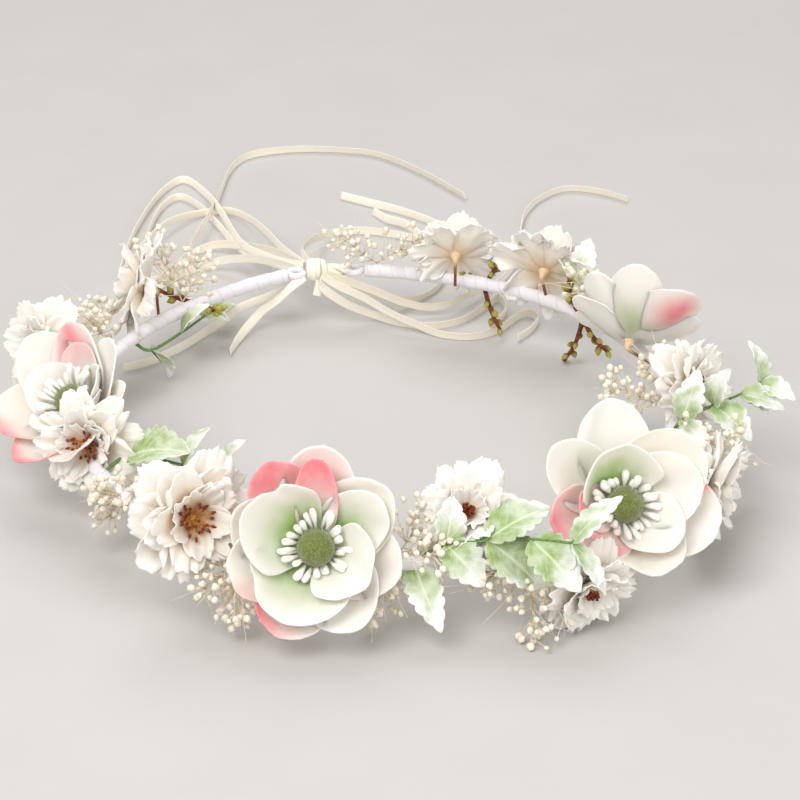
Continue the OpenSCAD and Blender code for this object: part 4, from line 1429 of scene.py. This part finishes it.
def anemones(hoop: Hoop) -> tuple[Anemone, ...]:
    """The four anemones with their own petals, turn 0 down and 90 right across each face."""
    p = Petal
    # The beige casts over whole petals are painted shade, put on petals that lie in shadow.
    return (
        Anemone(
            "anemone_front_left", hoop, -113, 97, 28, -104, 32,
            outer=(
                p(213, 29, 24, 8, 46, 15, 0.5, (rim(1.0, 0.0, 1.4, 0.6),)),
                p(178, 30, 25, 6, 44, 16, 0.0, (Mark(Tint.BLUSH, 0.55, 0.0, 0.3, 1.0, 0.7), painted_shade(0.1))),
                p(128, 28, 26, 8, 50, 15, 0.5, (painted_shade(0.2),)),
                p(75, 27, 26, 6, 52, 15, 0.0, (painted_shade(0.1),)),
                p(28, 28, 27, 8, 52, 16, 0.5, ()),
                p(338, 29, 28, 6, 50, 15, 0.0, (rim(1.0, -0.5, 0.7, 0.2),)),
                p(290, 28, 26, 8, 52, 15, 0.5, (rim(0.5, 0.5, 0.4, 0.2), painted_shade(0.2))),
                p(252, 27, 25, 6, 52, 15, 0.0, (painted_shade(0.3),)),
            ),
            inner=(
                p(240, 26, 33, 15, 60, 15, 3.4, (throat(1.0, 0.42, -0.2),), notch=0.12, notch_at=-0.5),
                p(334, 26, 36, 14, 58, 17, 2.2, (throat(1.0, 0.44, -0.4),), notch=0.1, notch_at=-0.7),
                p(60, 22, 28, 17, 68, 13, 3.6, (throat(0.35, 0.25),)),
                p(122, 25, 22, 12, 50, 13, 2.2, (throat(1.0, 0.4),)),
                p(180, 27, 15, 14, 48, 7, 2.6, (rim(1.0, 0.0, 1.8, 0.5),)),
            ),
            seed=11,
        ),
        Anemone(
            "anemone_front_right", hoop, -62, 106, 32, -85, 38,
            outer=(
                p(176, 31, 26, 4, 34, 17, 0.0, ()),
                p(226, 28, 22, 6, 42, 15, 0.5, (painted_shade(0.1),)),
                p(118, 30, 30, 8, 50, 16, 0.6, (painted_shade(0.35),)),
                p(70, 30, 30, 6, 42, 17, 0.0, (painted_shade(0.2), rim(1.0, 0.8, 0.25, 0.35))),
                p(22, 26, 25, 8, 60, 14, 0.5, (painted_shade(0.35),)),
                p(330, 26, 22, 4, 50, 15, 0.0, (painted_shade(0.1),)),
                p(276, 25, 21, 6, 48, 14, 0.5, (rim(0.9, 0.0, 1.0, 0.4),)),
            ),
            inner=(
                p(
                    188, 21, 34, 16, 76, 14, 2.3, (Mark(Tint.THROAT, 0.4, 0.2, 0.5, 0.8, 0.9),),
                    round_end=0.7,
                ),
                p(100, 25, 27, 12, 50, 13, 2.2, (throat(0.3, 0.25), painted_shade(0.15))),
                p(42, 21, 23, 14, 62, 12, 2.8, (painted_shade(0.1),)),
                p(322, 18, 17, 14, 58, 11, 2.2, (throat(0.3, 0.3), rim(1.0, 0.0, 1.2, 0.4))),
                p(268, 17, 16, 14, 60, 10, 2.6, (rim(1.0, 0.0, 1.2, 0.4),)),
            ),
            seed=23,
        ),
        Anemone(
            "anemone_left", hoop, 179, 94, 32, 195, 55,
            outer=(
                p(262, 32, 26, 18, 74, 14, 0.3, (painted_shade(0.15),)),
                p(222, 30, 22, 20, 74, 12, 0.0, (Mark(Tint.BLUSH, 0.8, 0.2, 0.3, 0.5, 1.0),)),
                p(180, 26, 21, 14, 62, 14, 0.5, ()),
                p(318, 30, 28, 10, 52, 15, 0.5, (painted_shade(0.4), rim(1.0, 0.6, 0.5, 0.25))),
                p(8, 26, 25, 6, 44, 15, 0.0, (rim(1.0, 0.0, 1.5, 0.13), painted_shade(0.1))),
                p(60, 25, 23, 6, 40, 15, 0.4, (rim(0.3, 0.0, 1.0, 0.2),)),
                p(120, 24, 22, 8, 48, 14, 0.0, ()),
            ),
            inner=(
                p(282, 21, 22, 20, 76, 12, 2.3, ()),
                p(8, 17, 21, 18, 66, 11, 2.6, ()),
                p(78, 18, 25, 18, 70, 12, 2.2, ()),
                p(146, 19, 20, 20, 74, 11, 2.6, (throat(0.5, 0.3),)),
                p(218, 22, 19, 18, 70, 11, 2.2, (rim(0.6, 0.0, 1.0, 0.35),)),
            ),
            seed=37,
            stand=4.5,
        ),
        Anemone(
            "anemone_right", hoop, 6, 87, 36, 60, 40,
            outer=(
                p(146, 26, 18, 12, 54, 10, 0.5, (throat(0.5, 0.2),)),
                p(186, 29, 22, 10, 62, 12, 0.0, (throat(0.6, 0.3), painted_shade(0.1))),
                p(230, 28, 24, 8, 42, 13, 0.6, (
                    Mark(Tint.BLUSH, 0.68, 0.1, 0.3, 0.55, 1.0), throat(0.4, 0.15),
                )),
                p(272, 23, 22, 8, 46, 14, 0.0, (painted_shade(0.1),)),
                p(76, 20, 21, 6, 38, 13, 0.6, (painted_shade(0.1), throat(0.4, 0.2))),
                p(112, 22, 18, 8, 46, 12, 0.0, (painted_shade(0.1),)),
                p(30, 22, 20, 8, 50, 13, 0.3, (painted_shade(0.1),)),
                p(322, 22, 20, 8, 50, 13, 0.0, ()),
            ),
            inner=(
                p(20, 18, 18, 16, 64, 10, 2.2, (throat(0.6, 0.3),)),
                p(92, 18, 18, 16, 64, 10, 2.6, (throat(0.6, 0.3),)),
                p(164, 19, 18, 16, 64, 10, 2.2, (throat(0.7, 0.3),)),
                p(236, 20, 19, 16, 62, 10, 2.6, (rim(0.8, 0.0, 1.0, 0.4), throat(0.6, 0.25))),
                p(308, 18, 17, 16, 62, 10, 2.2, (throat(0.6, 0.3),)),
            ),
            seed=53,
        ),
    )


def blossoms(hoop: Hoop) -> tuple[Blossom, ...]:
    """The ten blossoms: place on the crown, way faced, size, warmth and radius of the heart."""
    rows = (
        (-134, 99, 31, -75, 15, 17.5, 1.0, 6.6),
        (-171, 94, 26, -125, 10, 15.5, 0.55, 5.6),
        (155, 110, 28, -140, 20, 15, 0.2, 4.6),
        (130, 100, 32, 165, 15, 16, 0.6, 3.6),
        (-86, 87, 32, -110, 45, 14, 0.3, 2.4),
        (-71, 113, 12.8, -80, -15, 14, 0.35, 2.2),
        (-40, 113, 20, -30, -5, 15.5, 0.1, 2.4),
        (-17, 99, 30, -50, 25, 14, 0.5, 3.0),
        (40, 95, 32, 60, 20, 16, 0.8, 4.0),
        (60, 92, 32, 75, 15, 14, 0.6, 3.6),
    )
    return tuple(Blossom(i + 1, hoop, *row) for i, row in enumerate(rows))


def leaf_sprigs(hoop: Hoop) -> tuple[LeafSprig, ...]:
    """The five leaf sprigs."""
    rows = (
        ("leaf_sprig_left", 0.35, ((-89, -24, 21), (-80, -22, 25), (-66, -33, 26), (-57, -43, 28)), (
            (1, -38, 20, 21, 15, 20), (2, 7, 57, 14, 6, 10), (3, -18, 58, 14, 7, 10), (3, -60, 10, 9, 6, 0),
        )),
        ("leaf_sprig_front", 0.55, (
            (-11, -91, 20), (-2, -93, 26), (9, -97, 28), (20, -102, 30), (30, -108, 31),
        ), (
            (0, -79, -30, 22, 10, 20), (1, 60, 55, 14, 9, 30), (1, -49, -33, 16, 12, 30),
            (2, -34, -35, 21, 14, 30), (2, 12, 20, 21, 13, 15), (3, -50, -31, 20, 13, 30),
            (4, 10, 40, 19, 7, 20), (4, -40, -50, 18, 6, 20),
        )),
        ("leaf_sprig_right", 0.6, (
            (79, -46, 21), (85, -43, 27), (95, -42, 30), (104, -40, 31.5), (112, -36, 32),
        ), (
            (1, 24, 70, 16, 9, 40), (1, -80, -13, 18, 7, 10), (2, -13, 74, 13, 9, 30),
            (2, -55, -23, 16, 10, 20), (3, -17, -15, 15, 9, 20), (3, -6, -31, 12, 8, 20),
            (4, 94, 57, 14, 10, 40), (4, -40, -10, 12, 8, 20),
        )),
        ("leaf_sprig_back_right", 0.8, ((78, 49, 21), (77, 48, 25), (79, 50, 29)), (
            (2, 45, 46, 17, 9, 30), (2, 110, 40, 14, 8, 20), (1, -7, -40, 13, 8, 20),
        )),
        ("leaf_sprig_back_left", 0.4, (
            (-67, 63, 17.5), (-62, 62, 15), (-50, 74, 14), (-40, 88, 12), (-34, 96, 10),
        ), (
            (1, 47, -54, 18, 9, 20), (2, -25, 53, 15, 8, 20), (3, 100, 10, 14, 7, 0),
            (3, 20, -20, 11, 7, 20), (4, 62, -10, 12, 8, 20),
        )),
    )
    return tuple(
        LeafSprig(name, hoop, stem, tuple(Leaf(*leaf) for leaf in leaves), frost)
        for name, frost, stem, leaves in rows
    )


def sprays(rows: tuple) -> tuple[Spray, ...]:
    """Sprays from rows of angle, radius, height and branches of azimuth, elevation, length."""
    return tuple(Spray(a, r, h, tuple(Branch(*b) for b in branches)) for a, r, h, branches in rows)


GYPSOPHILA = (
    (-128, 96, 21, ((-96, -44, 20), (-145, -29, 16), (-47, -38, 26))),
    (-100, 89, 20, ((-141, -40, 18), (-14, -50, 14), (30, 50, 17), (-42, 23, 16))),
    (-80, 97, 20, ((-87, -48, 25), (-158, -30, 12), (-47, -36, 24))),
    (-26, 93, 22, ((-52, 20, 24), (-42, -10, 23))),
    (-17, 90, 22, ((162, 23, 20), (142, 60, 18))),
    (18, 91, 22, ((152, 52, 25), (-126, 60, 21))),
    (77, 97, 22, ((-25, 32, 23), (172, 41, 18))),
    (121, 94, 22, ((49, 53, 18), (142, 60, 24))),
    (141, 100, 22, ((-122, 51, 15), (90, 30, 14))),
    (-155, 90, 22, ((148, -11, 11), (144, -50, 14), (-75, 25, 15), (-20, -5, 15))),
)
TWIGS = (
    (117, 91, 20, ((170, 24, 19), (-60, 10, 9))),
    (54, 94, 19, ((-32, 68, 12), (-58, -62, 17), (150, 30, 9))),
    (28, 91, 19, ((136, 65, 14), (135, -70, 18.5), (-46, -44, 14))),
)


# ------------------------------------------------------------------ camera, light and floor


@dataclass
class Studio:
    """A pale card floor, soft light and the camera."""

    target: np.ndarray
    azimuth: float = -13.5
    elevation: float = 29.0
    distance: float = 0.760
    lens: float = 109.3
    lamp_away: float = 1.3
    floor_drop: float = 0.0002

    def camera(self) -> None:
        """Stands the camera back from its target along its azimuth and elevation."""
        data = bpy.data.cameras.new("camera")
        data.lens = self.lens
        data.sensor_width = 36.0
        data.clip_start = 0.01
        made = bpy.data.objects.new("camera", data)
        bpy.context.scene.collection.objects.link(made)
        back = -heading(90 + self.azimuth, -self.elevation)
        made.location = Vector(self.target + self.distance * back)
        made.rotation_euler = Vector(back).to_track_quat("Z", "Y").to_euler()
        bpy.context.scene.camera = made

    def lamp(self, name: str, azimuth: float, elevation: float, size: float, watts: float) -> None:
        """Hangs one square soft light in the air, turned to the target."""
        data = bpy.data.lights.new(name, "AREA")
        data.size = size
        data.energy = watts
        made = bpy.data.objects.new(name, data)
        bpy.context.scene.collection.objects.link(made)
        back = -heading(90 + azimuth, -elevation)
        made.location = Vector(self.target + self.lamp_away * back)
        made.rotation_euler = Vector(back).to_track_quat("Z", "Y").to_euler()

    def build(self) -> None:
        """Makes the floor, the lights and the world."""
        x, y = np.meshgrid(np.linspace(-3, 3, 7), np.linspace(-3, 3, 7), indexing="ij")
        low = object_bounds()[0][2]
        grid = np.stack([x, y, np.full_like(x, low - self.floor_drop)], axis=-1) / MM
        card = Sheaf()
        card.add(grid)
        floor = card.piece("floor", np.zeros(3), CARD_FLOOR, resting=False)
        floor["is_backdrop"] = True
        self.lamp("key", -48, 52, 0.8, 11.5)
        self.lamp("fill", 30, 26, 1.1, 6.0)
        self.lamp("top", 165, 60, 0.9, 6.5)
        world = bpy.data.worlds.new("studio")
        world.use_nodes = True
        sky = world.node_tree.nodes["Background"]
        sky.inputs["Color"].default_value = linear("#F5F2EE")
        sky.inputs["Strength"].default_value = 0.5
        bpy.context.scene.world = world
        # Plain colour, so that ivory, blush and green keep the strength of their hex values.
        bpy.context.scene.view_settings.view_transform = "Standard"


def main() -> None:
    """Loads the frame and builds the crown in order."""
    logging.basicConfig(level=logging.INFO, format="%(message)s")
    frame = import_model()
    rim_place = next(m for m in frame["record"]["mounts"] if m["name"] == "head_rim")["pos_m"]
    centre = np.array([rim_place[0], rim_place[1], 0.0])
    hoop = Hoop(centre, rim_place[2] / MM)
    studio = Studio(np.array(rim_place) + AIM * MM)
    studio.camera()
    Ribbons(hoop).build()
    hoop.build()
    Tie(hoop).build()
    flowers = (*anemones(hoop), *blossoms(hoop))
    for flower in flowers:
        flower.build()
    places = [flower.place() for flower in flowers]
    FlowerWires(hoop, tuple((place.origin, place.out) for place in places)).build()
    for sprig in leaf_sprigs(hoop):
        sprig.build()
    DriedSprays(hoop, sprays(GYPSOPHILA)).build()
    TwigSprigs(hoop, sprays(TWIGS)).build()
    wire = frame["nodes"]["hoop_wire"]
    wire.data.materials.clear()
    wire.data.materials.append(STEEL_WIRE.material())
    LOG.info("hoop_wire: dressed in %s", STEEL_WIRE.title)
    studio.build()
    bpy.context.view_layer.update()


if __name__ == "__main__":
    main()
